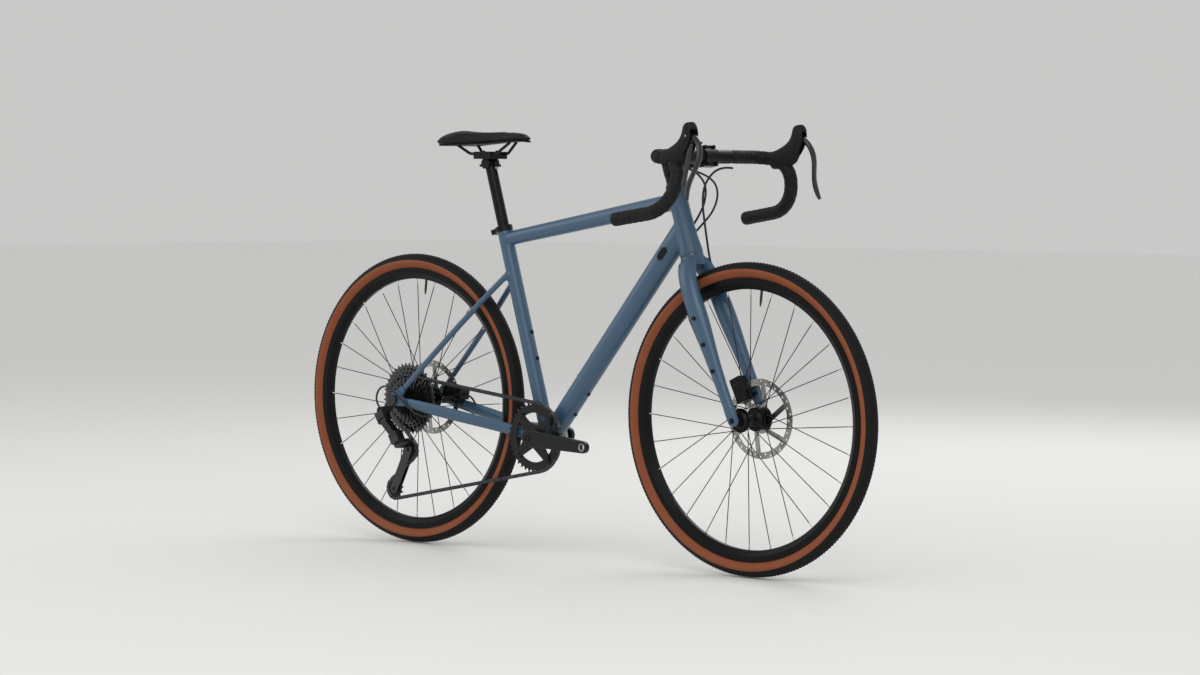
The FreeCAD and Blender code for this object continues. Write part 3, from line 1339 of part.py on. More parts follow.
def caliper(wheel, degrees, mount_axis, mount_body):
    """Flat-mounted caliper beside a stay or a leg, and its two pads beside the rotor."""
    name = wheel.name + "Caliper"
    reach = s.rotor_radius - s.rotor_track / 2
    centre = polar(wheel, reach, float(degrees), wheel.rotor_side)
    away = unit((centre - wheel.axle) - mount_axis * (centre - wheel.axle).dot(mount_axis)
                - step(ACROSS, wheel.rotor_side))
    body = block(name + "Body", s.caliper_length, s.caliper_width, s.caliper_depth, centre, mount_axis, away)
    parts = [body]
    for side in (-1, 1):
        face = centre + step(ACROSS * side, s.caliper_width / 2)
        hand = "RL"[side > 0]
        parts.append(cylinder(f"{name}Piston{hand}", s.caliper_piston_radius, s.caliper_piston_height,
                              face, ACROSS * side))
        foot = (centre + mount_axis * (side * float(s.caliper_length) / 3)
                + step(ACROSS, s.caliper_width / 4))
        parts.append(cylinder(f"{name}Foot{hand}", s.bolt_head_radius, s.caliper_depth, foot, -away))
    inward = unit(wheel.axle + step(ACROSS, wheel.rotor_side) - centre)
    tangent = ACROSS.cross(inward)
    slot_width = s.rotor_thickness + (s.pad_gap + s.pad_thickness + s.side_gap) * 2
    pocket = block(name + "Pocket", s.pad_length + s.side_gap * 2, slot_width, s.pad_height + s.side_gap * 2,
                   centre, tangent, inward)
    throat = cylinder(name + "Throat", s.rotor_radius + s.running_clearance * 20, s.rotor_thickness * 2,
                      wheel.axle + step(ACROSS, wheel.rotor_side - s.rotor_thickness), ACROSS)
    keep(cut(name, fused(name + "Blank", parts), pocket, throat, mount_body),
         wheel.name.lower() + "_caliper")
    for side, tag in ((-1, "inner"), (1, "outer")):
        place = centre + step(ACROSS * side, s.rotor_thickness / 2 + s.pad_gap + s.pad_thickness / 2)
        pad = block(f"{name}Pad{tag}", s.pad_length, s.pad_thickness, s.pad_height, place, tangent, inward)
        keep(pad, f"{wheel.name.lower()}_pad_{tag}")
    return centre, away


front_brake, front_away = caliper(front_wheel, s.front_caliper_angle, leg_axis, legs[1])
rear_brake, rear_away = caliper(rear_wheel, s.rear_caliper_angle, chain_direction, stays[1][0])


class Sprocket:
    """A toothed wheel in the chain's path: its centre, spin and place across the bike."""

    def __init__(self, centre, teeth, spin, side):
        self.centre = complex(centre.x, centre.z)
        self.teeth = int(float(teeth))
        self.spin = spin
        self.side = float(side)
        self.radius = pitch_radius(self.teeth)


def pitch_radius(teeth):
    return float(s.chain_pitch) / 2 / math.sin(math.pi / teeth)


def polar_number(radius, angle):
    return complex(radius * math.cos(angle), radius * math.sin(angle))


def angle_of(number):
    return math.atan2(number.imag, number.real)


# A run stays in line with each sprocket for this many pitches before it moves across
LEAD_PITCHES = 2.4
LEAD_SHARE = 0.3


class ChainRoute:
    """The chain's path around its sprockets, counted in chain pitches."""

    def __init__(self, sprockets):
        self.sprockets = sprockets
        self.arrivals, self.turns, self.runs, self.starts = [], [], [], []
        count = len(sprockets)
        tangents = [self.tangent(sprockets[i], sprockets[(i + 1) % count]) for i in range(count)]
        travel = 0.0
        for number, wheel in enumerate(sprockets):
            arrival = angle_of(tangents[number - 1][1] - wheel.centre)
            leave = angle_of(tangents[number][0] - wheel.centre)
            turn = ((leave - arrival) * wheel.spin) % (2 * math.pi)
            self.arrivals.append(arrival)
            self.starts.append(travel)
            self.turns.append(turn * wheel.teeth / (2 * math.pi))
            self.runs.append(tangents[number])
            travel += self.turns[-1] + abs(tangents[number][1] - tangents[number][0]) / float(s.chain_pitch)
        self.total = travel

    @staticmethod
    def tangent(one, two):
        gap = two.centre - one.centre
        lean = angle_of(gap) + math.acos((two.spin * two.radius - one.spin * one.radius) / abs(gap))
        normal = polar_number(1.0, lean)
        return one.centre - one.spin * one.radius * normal, two.centre - two.spin * two.radius * normal

    def joint(self, travel):
        number = max(i for i in range(len(self.starts)) if self.starts[i] <= travel)
        wheel = self.sprockets[number]
        inside = travel - self.starts[number]
        if inside <= self.turns[number]:
            angle = self.arrivals[number] + wheel.spin * inside * 2 * math.pi / wheel.teeth
            place = wheel.centre + polar_number(wheel.radius, angle)
            return Vector(place.real, wheel.side, place.imag)
        start, end = self.runs[number]
        run = abs(end - start) / float(s.chain_pitch)
        gone = inside - self.turns[number]
        place = start + (end - start) * (gone / run)
        lead = min(LEAD_PITCHES, run * LEAD_SHARE)
        across = min(max((gone - lead) / (run - 2 * lead), 0.0), 1.0)
        after = self.sprockets[(number + 1) % len(self.sprockets)]
        return Vector(place.real, wheel.side + (after.side - wheel.side) * across, place.imag)

    def phase(self, number):
        """Angle of one tooth seat, so that a roller rests in it."""
        wheel = self.sprockets[number]
        wait = math.ceil(self.starts[number]) - self.starts[number]
        return self.arrivals[number] + wheel.spin * wait * 2 * math.pi / wheel.teeth


SEAT_SPREAD = math.radians(60.0)


def toothed(teeth, phase, thickness, holes):
    """Toothed disc around the local Z axis; holes are (x, y, radius)."""
    radius = pitch_radius(teeth)
    seat = float(s.roller_radius + s.roller_seat_gap)
    tip = radius + float(s.tooth_rise)
    edges, half = [], math.pi / teeth
    half_tip = float(s.tooth_tip_width) / 2
    corners = []
    for number in range(teeth):
        angle = phase + number * 2 * half
        out, tangent = polar_number(1.0, angle), polar_number(1.0, angle + math.pi / 2)
        centre = out * radius
        low = centre - seat * (out * math.cos(SEAT_SPREAD) + tangent * math.sin(SEAT_SPREAD))
        high = centre - seat * (out * math.cos(SEAT_SPREAD) - tangent * math.sin(SEAT_SPREAD))
        peak, along_tip = polar_number(tip, angle + half), polar_number(half_tip, angle + half + math.pi / 2)
        corners.append((low, centre - out * seat, high, peak - along_tip, peak + along_tip))

    def spot(number):
        return Vector(number.real, number.imag, 0)

    for number, (low, bottom, high, rise, fall) in enumerate(corners):
        after = corners[(number + 1) % teeth][0]
        edges.append(Part.Arc(spot(low), spot(bottom), spot(high)).toShape())
        for one, two in ((high, rise), (rise, fall), (fall, after)):
            edges.append(Part.LineSegment(spot(one), spot(two)).toShape())
    wires = [Part.Wire(edges)]
    for x, y, hole_radius in holes:
        circle = Part.Circle(Vector(x, y, 0), UP, float(hole_radius)).toShape()
        wires.append(Part.Wire([circle]))
    face = Part.Face(wires, "Part::FaceMakerBullseye")
    return face.extrude(Vector(0, 0, thickness))


def right_view(x, y, z):
    """Placement that draws a flat shape as seen from the right, growing outwards."""
    return facing(Vector(x, y, z), FORWARD, -ACROSS)


# Derailleur points: the linkage leans inboard, and its pivots lie across the linkage
hanger_bolt = rear_axle + Vector(-s.hanger_back, 0, -s.hanger_drop)
hanger_face = half_rear + s.dropout_thickness
knuckle_face = hanger_face + s.hanger_thickness
link_drop = turned_by(s.link_lead_angle, ACROSS).multVec(FORWARD)
link_pin_axis = ACROSS.cross(link_drop)
link_line = link_drop * math.cos(math.radians(float(s.link_lean_angle))) + ACROSS * math.sin(
    math.radians(float(s.link_lean_angle)))
root_outer = hanger_bolt + Vector(s.link_root_lead, 0, -s.link_root_drop) - step(
    ACROSS, knuckle_face + s.knuckle_width - s.link_outer_inset)
root_inner = root_outer + step(ACROSS, s.link_spread)
foot_outer = root_outer + step(link_line, s.link_length)
foot_inner = root_inner + step(link_line, s.link_length)
cage_pivot = foot_outer + Vector(s.cage_pivot_lead, 0, -s.cage_pivot_drop)
chain_side = s.small_cog_side - s.cog_pitch * CHAIN_COG


def cage_points(lean):
    """Centres of the guide and the tension pulley with the cage turned by an angle."""
    turn = turned_by(lean, ACROSS)
    guide_offset = Vector(s.guide_lead, 0, -s.guide_drop)
    arm = turned_by(s.cage_lean_angle, ACROSS).multVec(-UP)
    guide = Vector(cage_pivot.x, 0, cage_pivot.z) + turn.multVec(guide_offset)
    return guide, guide + turn.multVec(step(arm, s.cage_length))


def route_for(lean):
    guide, tension = cage_points(lean)
    return ChainRoute([
        Sprocket(rear_axle, COG_TEETH[CHAIN_COG], -1, -chain_side),
        Sprocket(bracket, s.ring_teeth, -1, -s.chain_line),
        Sprocket(tension, s.pulley_teeth, -1, -chain_side),
        Sprocket(guide, s.pulley_teeth, 1, -chain_side)])


def settled_cage():
    """Turns the cage until the chain closes with a whole number of link pairs."""
    wanted = 2 * round(route_for(0.0).total / 2)
    lean, nudge = 0.0, 0.01
    for attempt in range(60):
        error = route_for(lean).total - wanted
        slope = (route_for(lean + nudge).total - route_for(lean - nudge).total) / (2 * nudge)
        lean -= error / slope
    return lean, wanted


cage_turn, link_count = settled_cage()
route = route_for(cage_turn)
guide_centre, tension_centre = cage_points(cage_turn)
print("chain links", link_count, "cage turn", round(cage_turn, 3), "left over", route.total - link_count)

# Chainring with its bolts
half_ring = s.ring_thickness / 2
ring_place = right_view(bracket.x, -s.chain_line + half_ring, bracket.z)
ring_plate = solid_of("RingPlate", toothed(int(s.ring_teeth.value), route.phase(1), s.ring_thickness,
                                           [(0, 0, s.ring_inner_radius)]), ring_place)
crank_line = turned_by(s.crank_dip_angle, ACROSS).multVec(FORWARD)
ring_parts, spider_arms = [ring_plate], []
spider_face = s.chain_line + half_ring + s.spider_gap
SPIDER_ARMS = 4
for number in range(SPIDER_ARMS):
    direction = turned_by(FULL_TURN / SPIDER_ARMS * (number + 0.5), ACROSS).multVec(crank_line)
    tab = strap(f"RingTab{number}", facing(
        bracket + step(direction, s.ring_bolt_circle - s.spider_arm_radius)
        - step(ACROSS, s.chain_line - half_ring), direction, -ACROSS), s.spider_arm_radius,
        s.spider_arm_radius, s.spider_arm_radius - s.running_clearance, s.ring_thickness)
    ring_parts.append(tab)
    spider_arms.append(strap(f"SpiderArm{number}", facing(
        bracket - step(ACROSS, spider_face), direction, -ACROSS), s.ring_bolt_circle, s.crank_boss_radius,
        s.spider_arm_radius, s.spider_thickness))
ring_fused = fused("RingFused", ring_parts)
ring_group = [ring_fused]
for number in range(SPIDER_ARMS):
    direction = turned_by(FULL_TURN / SPIDER_ARMS * (number + 0.5), ACROSS).multVec(crank_line)
    place = bracket + step(direction, s.ring_bolt_circle)
    outer = cylinder(f"RingBolt{number}", s.ring_bolt_radius, s.bolt_head_height / 2,
                     place - step(ACROSS, spider_face + s.spider_thickness), -ACROSS)
    inner = cylinder(f"RingNut{number}", s.ring_bolt_radius, s.bolt_head_height / 2,
                     place - step(ACROSS, s.chain_line - half_ring), ACROSS)
    ring_group += [outer, inner]
keep(grouped("Chainring", ring_group), "chainring")

# Crank arms, spindle and spider
arms = {}
for side, direction in ((-1, crank_line), (1, -crank_line)):
    arms[side] = strap(f"CrankArm{'RL'[side > 0]}", facing(
        bracket + step(ACROSS * side, s.crank_side), direction, ACROSS * side), s.crank_length,
        s.crank_boss_radius, s.crank_tip_radius, s.crank_thickness,
        [(s.crank_length, s.pedal_hole_radius)], s.crank_edge)
spindle = cylinder("Spindle", s.spindle_radius, s.crank_side * 2 + s.crank_thickness - s.seat_gap,
                   bracket - step(ACROSS, s.crank_side), ACROSS)
hub_boss = cylinder("CrankBoss", s.crank_boss_radius, s.crank_side - spider_face,
                    bracket - step(ACROSS, s.crank_side), ACROSS)
spindle_bore = s.spindle_radius + s.running_clearance
spindle_seat = cylinder("SpindleSeat", spindle_bore, s.crank_side, bracket - step(ACROSS, s.crank_side),
                        ACROSS)
forging = cut("CrankForging", fused("CrankBlank", [arms[-1], hub_boss] + spider_arms), spindle_seat)
keep(grouped("CrankRight", [forging, spindle]), "crank_arm_right")
spindle_hole = cylinder("SpindleHole", spindle_bore, s.crank_side, bracket + step(
    ACROSS, s.crank_side / 2), ACROSS)
keep(cut("CrankLeft", arms[1], spindle_hole), "crank_arm_left")

# Cassette on its freehub body
WINDOW_SHARE = 0.3
WINDOWS = 6
half_cog = s.cog_thickness / 2
cog_bore = s.freehub_radius + s.running_clearance
cassette = []
for number, teeth in enumerate(COG_TEETH):
    side = s.small_cog_side - s.cog_pitch * number
    phase = route.phase(0) if number == CHAIN_COG else 0.0
    holes = [(0, 0, cog_bore)]
    room = pitch_radius(teeth) - float(s.spacer_ring_radius) - 2 * float(s.roller_radius)
    if room > float(s.spacer_ring_radius):
        for window in range(WINDOWS):
            spot = polar_number(float(s.spacer_ring_radius) + room / 2,
                                2 * math.pi * (window + 0.5) / WINDOWS)
            holes.append((spot.real, spot.imag, room * WINDOW_SHARE))
    cassette.append(solid_of(f"Cog{teeth}", toothed(teeth, phase, s.cog_thickness, holes),
                             right_view(rear_axle.x, -side + half_cog, rear_axle.z)))
    if number:
        base = rear_axle - step(ACROSS, side + s.cog_pitch - half_cog)
        gap = s.cog_pitch - s.cog_thickness
        cassette.append(turned(f"CogSpacer{number}", [
            (cog_bore, 0), (s.spacer_ring_radius, 0), (s.spacer_ring_radius, gap), (cog_bore, gap),
        ], base, ACROSS))
freehub_bore = s.hub_cap_radius - s.tube_wall / 2 + s.running_clearance
freehub_start = s.small_cog_side + s.cog_pitch / 2
freehub_length = freehub_start - s.rear_right_flange - half_flange - s.flange_edge
cassette.append(turned("Freehub", [
    (freehub_bore, 0), (s.freehub_radius, 0), (s.freehub_radius, freehub_length),
    (freehub_bore, freehub_length),
], rear_axle - step(ACROSS, freehub_start), ACROSS))
lock_start = s.small_cog_side + half_cog + s.running_clearance
cassette.append(turned("CassetteLock", [
    (cog_bore, 0), (s.spacer_ring_radius - s.tube_wall / 2, 0),
    (s.spacer_ring_radius - s.tube_wall / 2, s.cog_pitch / 3), (cog_bore, s.cog_pitch / 3),
], rear_axle - step(ACROSS, lock_start + s.cog_pitch / 3), ACROSS))
keep(grouped("Cassette", cassette), "cassette")

# Derailleur hanger, knuckle and links
hanger_run = hanger_bolt - rear_axle
hanger = strap("Hanger", facing(rear_axle - step(ACROSS, hanger_face), unit(hanger_run), -ACROSS),
               measured(hanger_run.Length), s.hanger_radius, s.knuckle_radius, s.hanger_thickness)
keep(hanger, "derailleur_hanger")
cheek_gap = s.link_half_width + s.side_gap
knuckle_reach = cheek_gap + s.cheek_thickness
block_gap = s.link_boss_radius + s.side_gap


def linkage_block(name, outer_pivot, inner_pivot, away, depth, inner_pin_gap):
    """Body with two cheeks and two pins that hold one end of both links."""
    middle = (outer_pivot + inner_pivot) * 0.5
    height = measured((inner_pivot - outer_pivot).Length) + s.cheek_half_height * 2
    core = block(name + "Core", depth, height, knuckle_reach * 2,
                 middle + step(away, block_gap + depth / 2), away, link_pin_axis)
    parts = [core]
    for side in (-1, 1):
        start = outer_pivot + step(link_pin_axis, cheek_gap if side > 0 else -knuckle_reach)
        parts.append(strap(f"{name}Cheek{'AB'[side > 0]}", facing(start, ACROSS, link_pin_axis),
                           measured((inner_pivot - outer_pivot).Length), s.cheek_half_height,
                           s.cheek_half_height - s.running_clearance, s.cheek_thickness))
    for tag, pivot, gap in (("Outer", outer_pivot, 0), ("Inner", inner_pivot, inner_pin_gap)):
        parts.append(cylinder(f"{name}Pin{tag}", s.link_pin_radius - gap, knuckle_reach * 2,
                              pivot - step(link_pin_axis, knuckle_reach), link_pin_axis))
    return parts


knuckle_barrel = cylinder("KnuckleBarrel", s.knuckle_radius, s.knuckle_width,
                          hanger_bolt - step(ACROSS, knuckle_face), -ACROSS)
knuckle_depth = measured((hanger_bolt - root_outer).dot(-link_drop)) - block_gap
keep(fused("Knuckle", [knuckle_barrel] + linkage_block(
    "Knuckle", root_outer, root_inner, -link_drop, knuckle_depth, 0)), "derailleur_knuckle")
link_bore = s.link_pin_radius + s.running_clearance
for name, root, label in (("OuterLink", root_outer, "outer_link"), ("InnerLink", root_inner, "inner_link")):
    base = root - step(link_pin_axis, s.link_half_width)
    keep(strap(name, facing(base, link_line, link_pin_axis), s.link_length, s.link_boss_radius,
               s.link_boss_radius - s.running_clearance, s.link_half_width * 2,
               [(0, link_bore), (s.link_length, link_bore)]), label)

# Cage knuckle, cage and its two pulleys
CAGE_BORE_SHARE = 0.9
CAGE_PIN_SHARE = 0.8
plate_outer = chain_side + s.cage_half_gap
plate_inner = chain_side - s.cage_half_gap - s.cage_plate_thickness
plate_face = plate_outer + s.cage_plate_thickness
pivot_flat = Vector(cage_pivot.x, 0, cage_pivot.z)
barrel_start = plate_face + s.side_gap
barrel_length = -foot_inner.y - barrel_start + s.cheek_half_height
barrel = cylinder("CageBarrel", s.cage_pivot_radius, barrel_length, pivot_flat - step(ACROSS, barrel_start),
                  -ACROSS)
cage_depth = measured((cage_pivot - foot_outer).dot(link_drop)) - block_gap
cage_bore = cylinder("CageBore", s.cage_pin_radius + s.running_clearance, barrel_length * CAGE_BORE_SHARE,
                     pivot_flat - step(ACROSS, barrel_start), -ACROSS)
cage_knuckle = fused("CageKnuckleBlank", [barrel] + linkage_block(
    "CageKnuckle", foot_outer, foot_inner, link_drop, cage_depth, s.running_clearance * 5))
keep(cut("CageKnuckle", cage_knuckle, cage_bore), "cage_knuckle")
cage_line = unit(tension_centre - guide_centre)
pivot_line = pivot_flat - guide_centre
cage_parts = []
far_end = s.cage_end_radius - s.running_clearance
for name, side in (("CageOuter", plate_outer), ("CageInner", plate_inner)):
    plate_place = facing(guide_centre - step(ACROSS, side), cage_line, -ACROSS)
    cage_parts.append(strap(name, plate_place, s.cage_length, s.cage_end_radius, far_end,
                            s.cage_plate_thickness))
tab_place = facing(guide_centre - step(ACROSS, plate_outer), unit(pivot_line), -ACROSS)
cage_parts.append(strap("CageTab", tab_place, measured(pivot_line.Length), s.cage_end_radius, far_end,
                        s.cage_plate_thickness))
cage_parts.append(cylinder("CagePin", s.cage_pin_radius,
                           barrel_length * CAGE_PIN_SHARE + s.cage_plate_thickness,
                           pivot_flat - step(ACROSS, plate_outer), -ACROSS))
for name, centre in (("GuideBolt", guide_centre), ("TensionBolt", tension_centre)):
    cage_parts.append(cylinder(name, s.cage_bolt_radius, plate_face - plate_inner,
                               centre - step(ACROSS, plate_inner), -ACROSS))
keep(fused("Cage", cage_parts), "derailleur_cage")
half_pulley = s.pulley_thickness / 2
hub_half = s.cage_half_gap - s.side_gap
for name, number, centre, label in (("Tension", 2, tension_centre, "tension_pulley"),
                                    ("Guide", 3, guide_centre, "guide_pulley")):
    teeth = int(s.pulley_teeth.value)
    disc = solid_of(name + "Disc", toothed(teeth, route.phase(number), s.pulley_thickness, []),
                    right_view(centre.x, -chain_side + half_pulley, centre.z))
    core = cylinder(name + "Core", s.cage_bolt_radius * 2, hub_half * 2,
                    centre - step(ACROSS, chain_side + hub_half), ACROSS)
    bore = cylinder(name + "Bore", s.cage_bolt_radius + s.running_clearance, hub_half * 4,
                    centre - step(ACROSS, chain_side + hub_half * 2), ACROSS)
    keep(cut(name + "Pulley", fused(name + "Blank", [disc, core]), bore), label)

# Chain: one inner and one outer link, repeated along the route
inner_face = s.chain_inner_half_width
inner_back = inner_face + s.plate_thickness
outer_face = inner_back + s.plate_side_gap
outer_back = outer_face + s.plate_thickness
link_hole = s.chain_pin_radius + s.chain_pin_gap


def link_plate(name, height, holes):
    place = Placement(Vector(0, 0, height), Rotation())
    return strap(name, place, s.chain_pitch, s.plate_half_height, s.plate_half_height - s.running_clearance,
                 s.plate_thickness, holes)


ends = [Vector(), Vector(s.chain_pitch, 0, 0)]
inner_parts = [link_plate("InnerPlateA", inner_face, []), link_plate("InnerPlateB", -inner_back, [])]
outer_parts = [link_plate("OuterPlateA", outer_face, []), link_plate("OuterPlateB", -outer_back, [])]
inner_holes = []
for number, end in enumerate(ends):
    inner_parts.append(cylinder(f"Roller{number}", s.roller_radius, inner_back * 2,
                                end - step(UP, inner_back), UP))
    inner_holes.append(cylinder(f"RollerHole{number}", link_hole, inner_back * 4,
                                end - step(UP, inner_back * 2), UP))
    reach = outer_back + s.chain_pin_reach
    outer_parts.append(cylinder(f"LinkPin{number}", s.chain_pin_radius, reach * 2, end - step(UP, reach),
                                UP))
inner_link = cut("ChainInner", fused("ChainInnerBlank", inner_parts),
                 grouped("ChainInnerHoles", inner_holes))
outer_link = fused("ChainOuter", outer_parts)
document.recompute()
joints = [route.joint(number) for number in range(link_count)]
links = []
for number, joint in enumerate(joints):
    line = unit(joints[(number + 1) % link_count] - joint)
    z_axis = unit(-ACROSS + line * line.dot(ACROSS))
    copy = (inner_link if number % 2 else outer_link).Shape.copy()
    copy.Placement = Placement(joint, Rotation(line, z_axis.cross(line), z_axis, "XZY"))
    links.append(copy)
spans = [(joints[(number + 1) % link_count] - joint).Length for number, joint in enumerate(joints)]
print("joint spans", round(min(spans), 3), round(max(spans), 3))
keep(solid_of("Chain", Part.makeCompound(links)), "chain")

# Seatpost with its head
post_top = seat_top + step(seat_axis, s.post_showing)
post_base = post_top - step(seat_axis, s.post_length)
post_tube = turned("PostTube", [
    (s.post_bore, 0), (s.post_radius, 0), (s.post_radius, s.post_length), (0, s.post_length),
    (0, s.post_length - s.post_radius), (s.post_bore, s.post_length - s.post_radius)], post_base, seat_axis)
drum_start = post_top - step(ACROSS, s.clamp_drum_width / 2)
post_head = cylinder("PostHead", s.clamp_drum_radius, s.clamp_drum_width, drum_start, ACROSS)
post_ears = block("PostEars", s.post_ear_length, s.post_ear_width, s.post_ear_thickness,
                  post_top - step(UP, s.post_ear_drop), FORWARD, UP)
clamp_level = Vector(post_top.x, 0, s.rail_level)
bolt_reach = (s.clamp_plate_length / 2 + s.clamp_drum_radius) / 2
bolt_length = s.clamp_bolt_length + s.clamp_plate_thickness
bolt_level = clamp_level + step(UP, s.clamp_plate_thickness + s.bolt_head_height)
bolt_tops = [bolt_level + step(FORWARD * side, bolt_reach) for side in (-1, 1)]
ear_holes = [cylinder(f"EarHole{'AB'[number]}", s.clamp_bolt_radius + s.running_clearance, bolt_length * 2,
                      top, -UP) for number, top in enumerate(bolt_tops)]
post_blank = fused("PostBlank", [post_tube, post_head, post_ears])
keep(cut("Seatpost", post_blank, *ear_holes), "seatpost")

# Saddle rails: along the clamp, rising to the shell behind and under the nose
RAIL_SHARES = (0.8, 0.67, 0.34, 0.2)
RAIL_FRONT_SHARE = 0.9
RAIL_NOSE_SHARE = 1.15
rail_solids = []
for side in (-1, 1):
    out = ACROSS * side
    spread = (s.rail_tail_side, s.rail_half_spread, s.rail_half_spread * RAIL_FRONT_SHARE, s.rail_nose_side)
    heights = (s.rail_rise, 0, 0, s.rail_rise * RAIL_NOSE_SHARE)
    points = [Vector(s.saddle_nose - s.saddle_length * share, 0, s.rail_level + rise) + step(out, offset)
              for share, offset, rise in zip(RAIL_SHARES, spread, heights)]
    rail_wire = rounded_path(points, [s.rail_bend_radius] * 2)
    rail_solids.append(swept(f"Rail{'RL'[side > 0]}", rail_wire, s.rail_radius))

# Saddle clamp: cradle, top plate and two bolts
cradle_width = (s.rail_half_spread + s.rail_radius * 2) * 2
cradle = block("Cradle", s.clamp_plate_length, cradle_width, s.cradle_height,
               clamp_level - step(UP, s.cradle_height / 2 + s.seat_gap), FORWARD, UP)
top_plate = block("ClampTop", s.clamp_plate_length, cradle_width, s.clamp_plate_thickness,
                  clamp_level + step(UP, s.clamp_plate_thickness / 2 + s.seat_gap), FORWARD, UP)
clamp_parts = [cradle, top_plate]
for number, top in enumerate(bolt_tops):
    clamp_parts.append(cylinder(f"ClampBolt{'AB'[number]}", s.clamp_bolt_radius, bolt_length, top, -UP))
clamp_blank = fused("SaddleClampBlank", clamp_parts)
keep(cut("SaddleClamp", clamp_blank, post_head, post_tube, rail_solids[0], rail_solids[1]), "saddle_clamp")

# Saddle: a station is its place behind the nose, its half width, how far it dips, and its skirt
SADDLE_SHARES = ((0.0, 0.13, 0.3, 0.45), (0.04, 0.22, 0.12, 0.58), (0.14, 0.28, 0.1, 0.6),
                 (0.32, 0.3, 0.17, 0.6), (0.5, 0.42, 0.2, 0.66), (0.66, 0.68, 0.16, 0.76),
                 (0.8, 0.94, 0.06, 0.92), (0.9, 1.0, 0.0, 1.02),
                 (0.97, 0.84, 0.05, 0.9), (1.0, 0.6, 0.2, 0.6))
CROWN_SHARE = 0.1
FLANK_SHARES = (0.92, 0.5)


def saddle_section(name, x, half_width, top, skirt, foot_share):
    """Closed outline across the saddle: crown arc, two flank arcs and a flat underside."""
    crown = half_width * CROWN_SHARE
    shoulder = half_width * FLANK_SHARES[0]
    corner = [Vector(x, -half_width * foot_share, top - skirt), Vector(x, -shoulder, top - crown * 2),
              Vector(x, shoulder, top - crown * 2), Vector(x, half_width * foot_share, top - skirt)]
    bulge = [Vector(x, -half_width, top - (skirt + crown * 2) * FLANK_SHARES[1]), Vector(x, 0, top),
             Vector(x, half_width, top - (skirt + crown * 2) * FLANK_SHARES[1])]
    edges = [Part.Arc(corner[i], bulge[i], corner[i + 1]).toShape() for i in range(3)]
    edges.append(Part.LineSegment(corner[3], corner[0]).toShape())
    return solid_of(name, Part.Wire(edges))


def shell_section(name, x, half_width, top):
    """Closed outline of the thin shell under the pad."""
    low = top - float(s.saddle_shell_thickness)
    corner = [Vector(x, -half_width, top), Vector(x, half_width, top),
              Vector(x, half_width, low), Vector(x, -half_width, low)]
    return solid_of(name, Part.makePolygon(corner + corner[:1]))


pad_sections, shell_sections = [], []
FOOT_SHARE = 0.86
for number, (behind, wide, dip, skirt) in enumerate(SADDLE_SHARES):
    x = float(s.saddle_nose - s.saddle_length * behind)
    half_width = float(s.saddle_half_width * wide)
    top = float(s.saddle_top - s.saddle_pad_height * dip)
    depth = float(s.saddle_pad_height * skirt)
    pad_sections.append(saddle_section(f"PadSection{number}", x, half_width, top, depth, FOOT_SHARE))
    shell_sections.append(shell_section(f"ShellSection{number}", x, half_width * FOOT_SHARE, top - depth))
pad = document.addObject("Part::Loft", "SaddlePad")
pad.Sections = pad_sections
pad.Solid = True
keep(pad, "saddle_pad")
shell_loft = document.addObject("Part::Loft", "SaddleShell")
shell_loft.Sections = shell_sections
shell_loft.Solid = True
keep(cut("SaddleBase", fused("SaddleBaseBlank", [shell_loft] + rail_solids), pad), "saddle_base")

# Hoses: routes from the tape into the frame and the fork, and out again at the rear, in shares of a reach
SHIFT_FRONT_SHARES = ((-0.06, -0.86, -0.04), (-0.08, -0.4, -0.1), (0.22, -0.05, -0.3), (0.27, 0.1, -0.62),
                      (0.0, 0.24, -1.04), (-0.46, 0.31, -1.4), (-0.81, 0.285, -1.73), (-1.0, 0.2, -1.92))
BRAKE_FRONT_SHARES = ((-0.12, -0.86, 0.0), (-0.15, -0.3, -0.09), (-0.06, 0.05, -0.4), (-0.26, 0.26, -0.84),
                      (-0.55, 0.31, -1.24), (-0.89, 0.29, -1.64), (-1.075, 0.2, -1.865))
FORK_HOSE_SHARES = ((0.02, 0.88, -0.06), (0.03, 0.42, -0.02), (-0.2, 0.2, -0.34), (-0.26, 0.14, -0.78),
                    (-0.18, 0.18, -1.45), (-0.15, 0.3, -2.14), (-0.09, 0.34, -2.4))
BRAKE_TAIL_SHARES = ((1.5, 0.04, -0.26), (1.38, 0.04, -0.03), (1.24, 0.02, 0.09), (1.04, 0.0, 0.13))
SHIFT_TAIL_SHARES = ((1.25, -0.58, -0.24), (1.0, -0.64, -0.4), (0.68, -0.74, -0.32), (0.4, -0.82, -0.08),
                     (0.12, -0.87, 0.18), (-0.14, -0.89, 0.34), (-0.38, -0.9, 0.27), (-0.49, -0.91, 0.04),
                     (-0.42, -0.91, -0.16), (-0.28, -0.91, -0.26))
stem_side = bar_centre - step(UP, s.bar_clamp_radius + s.tape_thickness)
brake_side = rear_axle + step(ACROSS, s.rear_rotor_side)


def routed(name, origin, shares, radius, *cutters):
    """A hose through points given from an origin, ended where it meets its neighbours."""
    points = [origin + step(Vector(*share), s.hose_reach) for share in shares]
    wire = cord_path(name, points)
    hose = swept(name + "Full", wire, radius)
    document.recompute()
    expected = math.pi * float(radius) ** 2 * wire.Length
    print(name, "volume", round(hose.Shape.Volume), "section by length", round(expected))
    return cut(name, hose, *cutters)


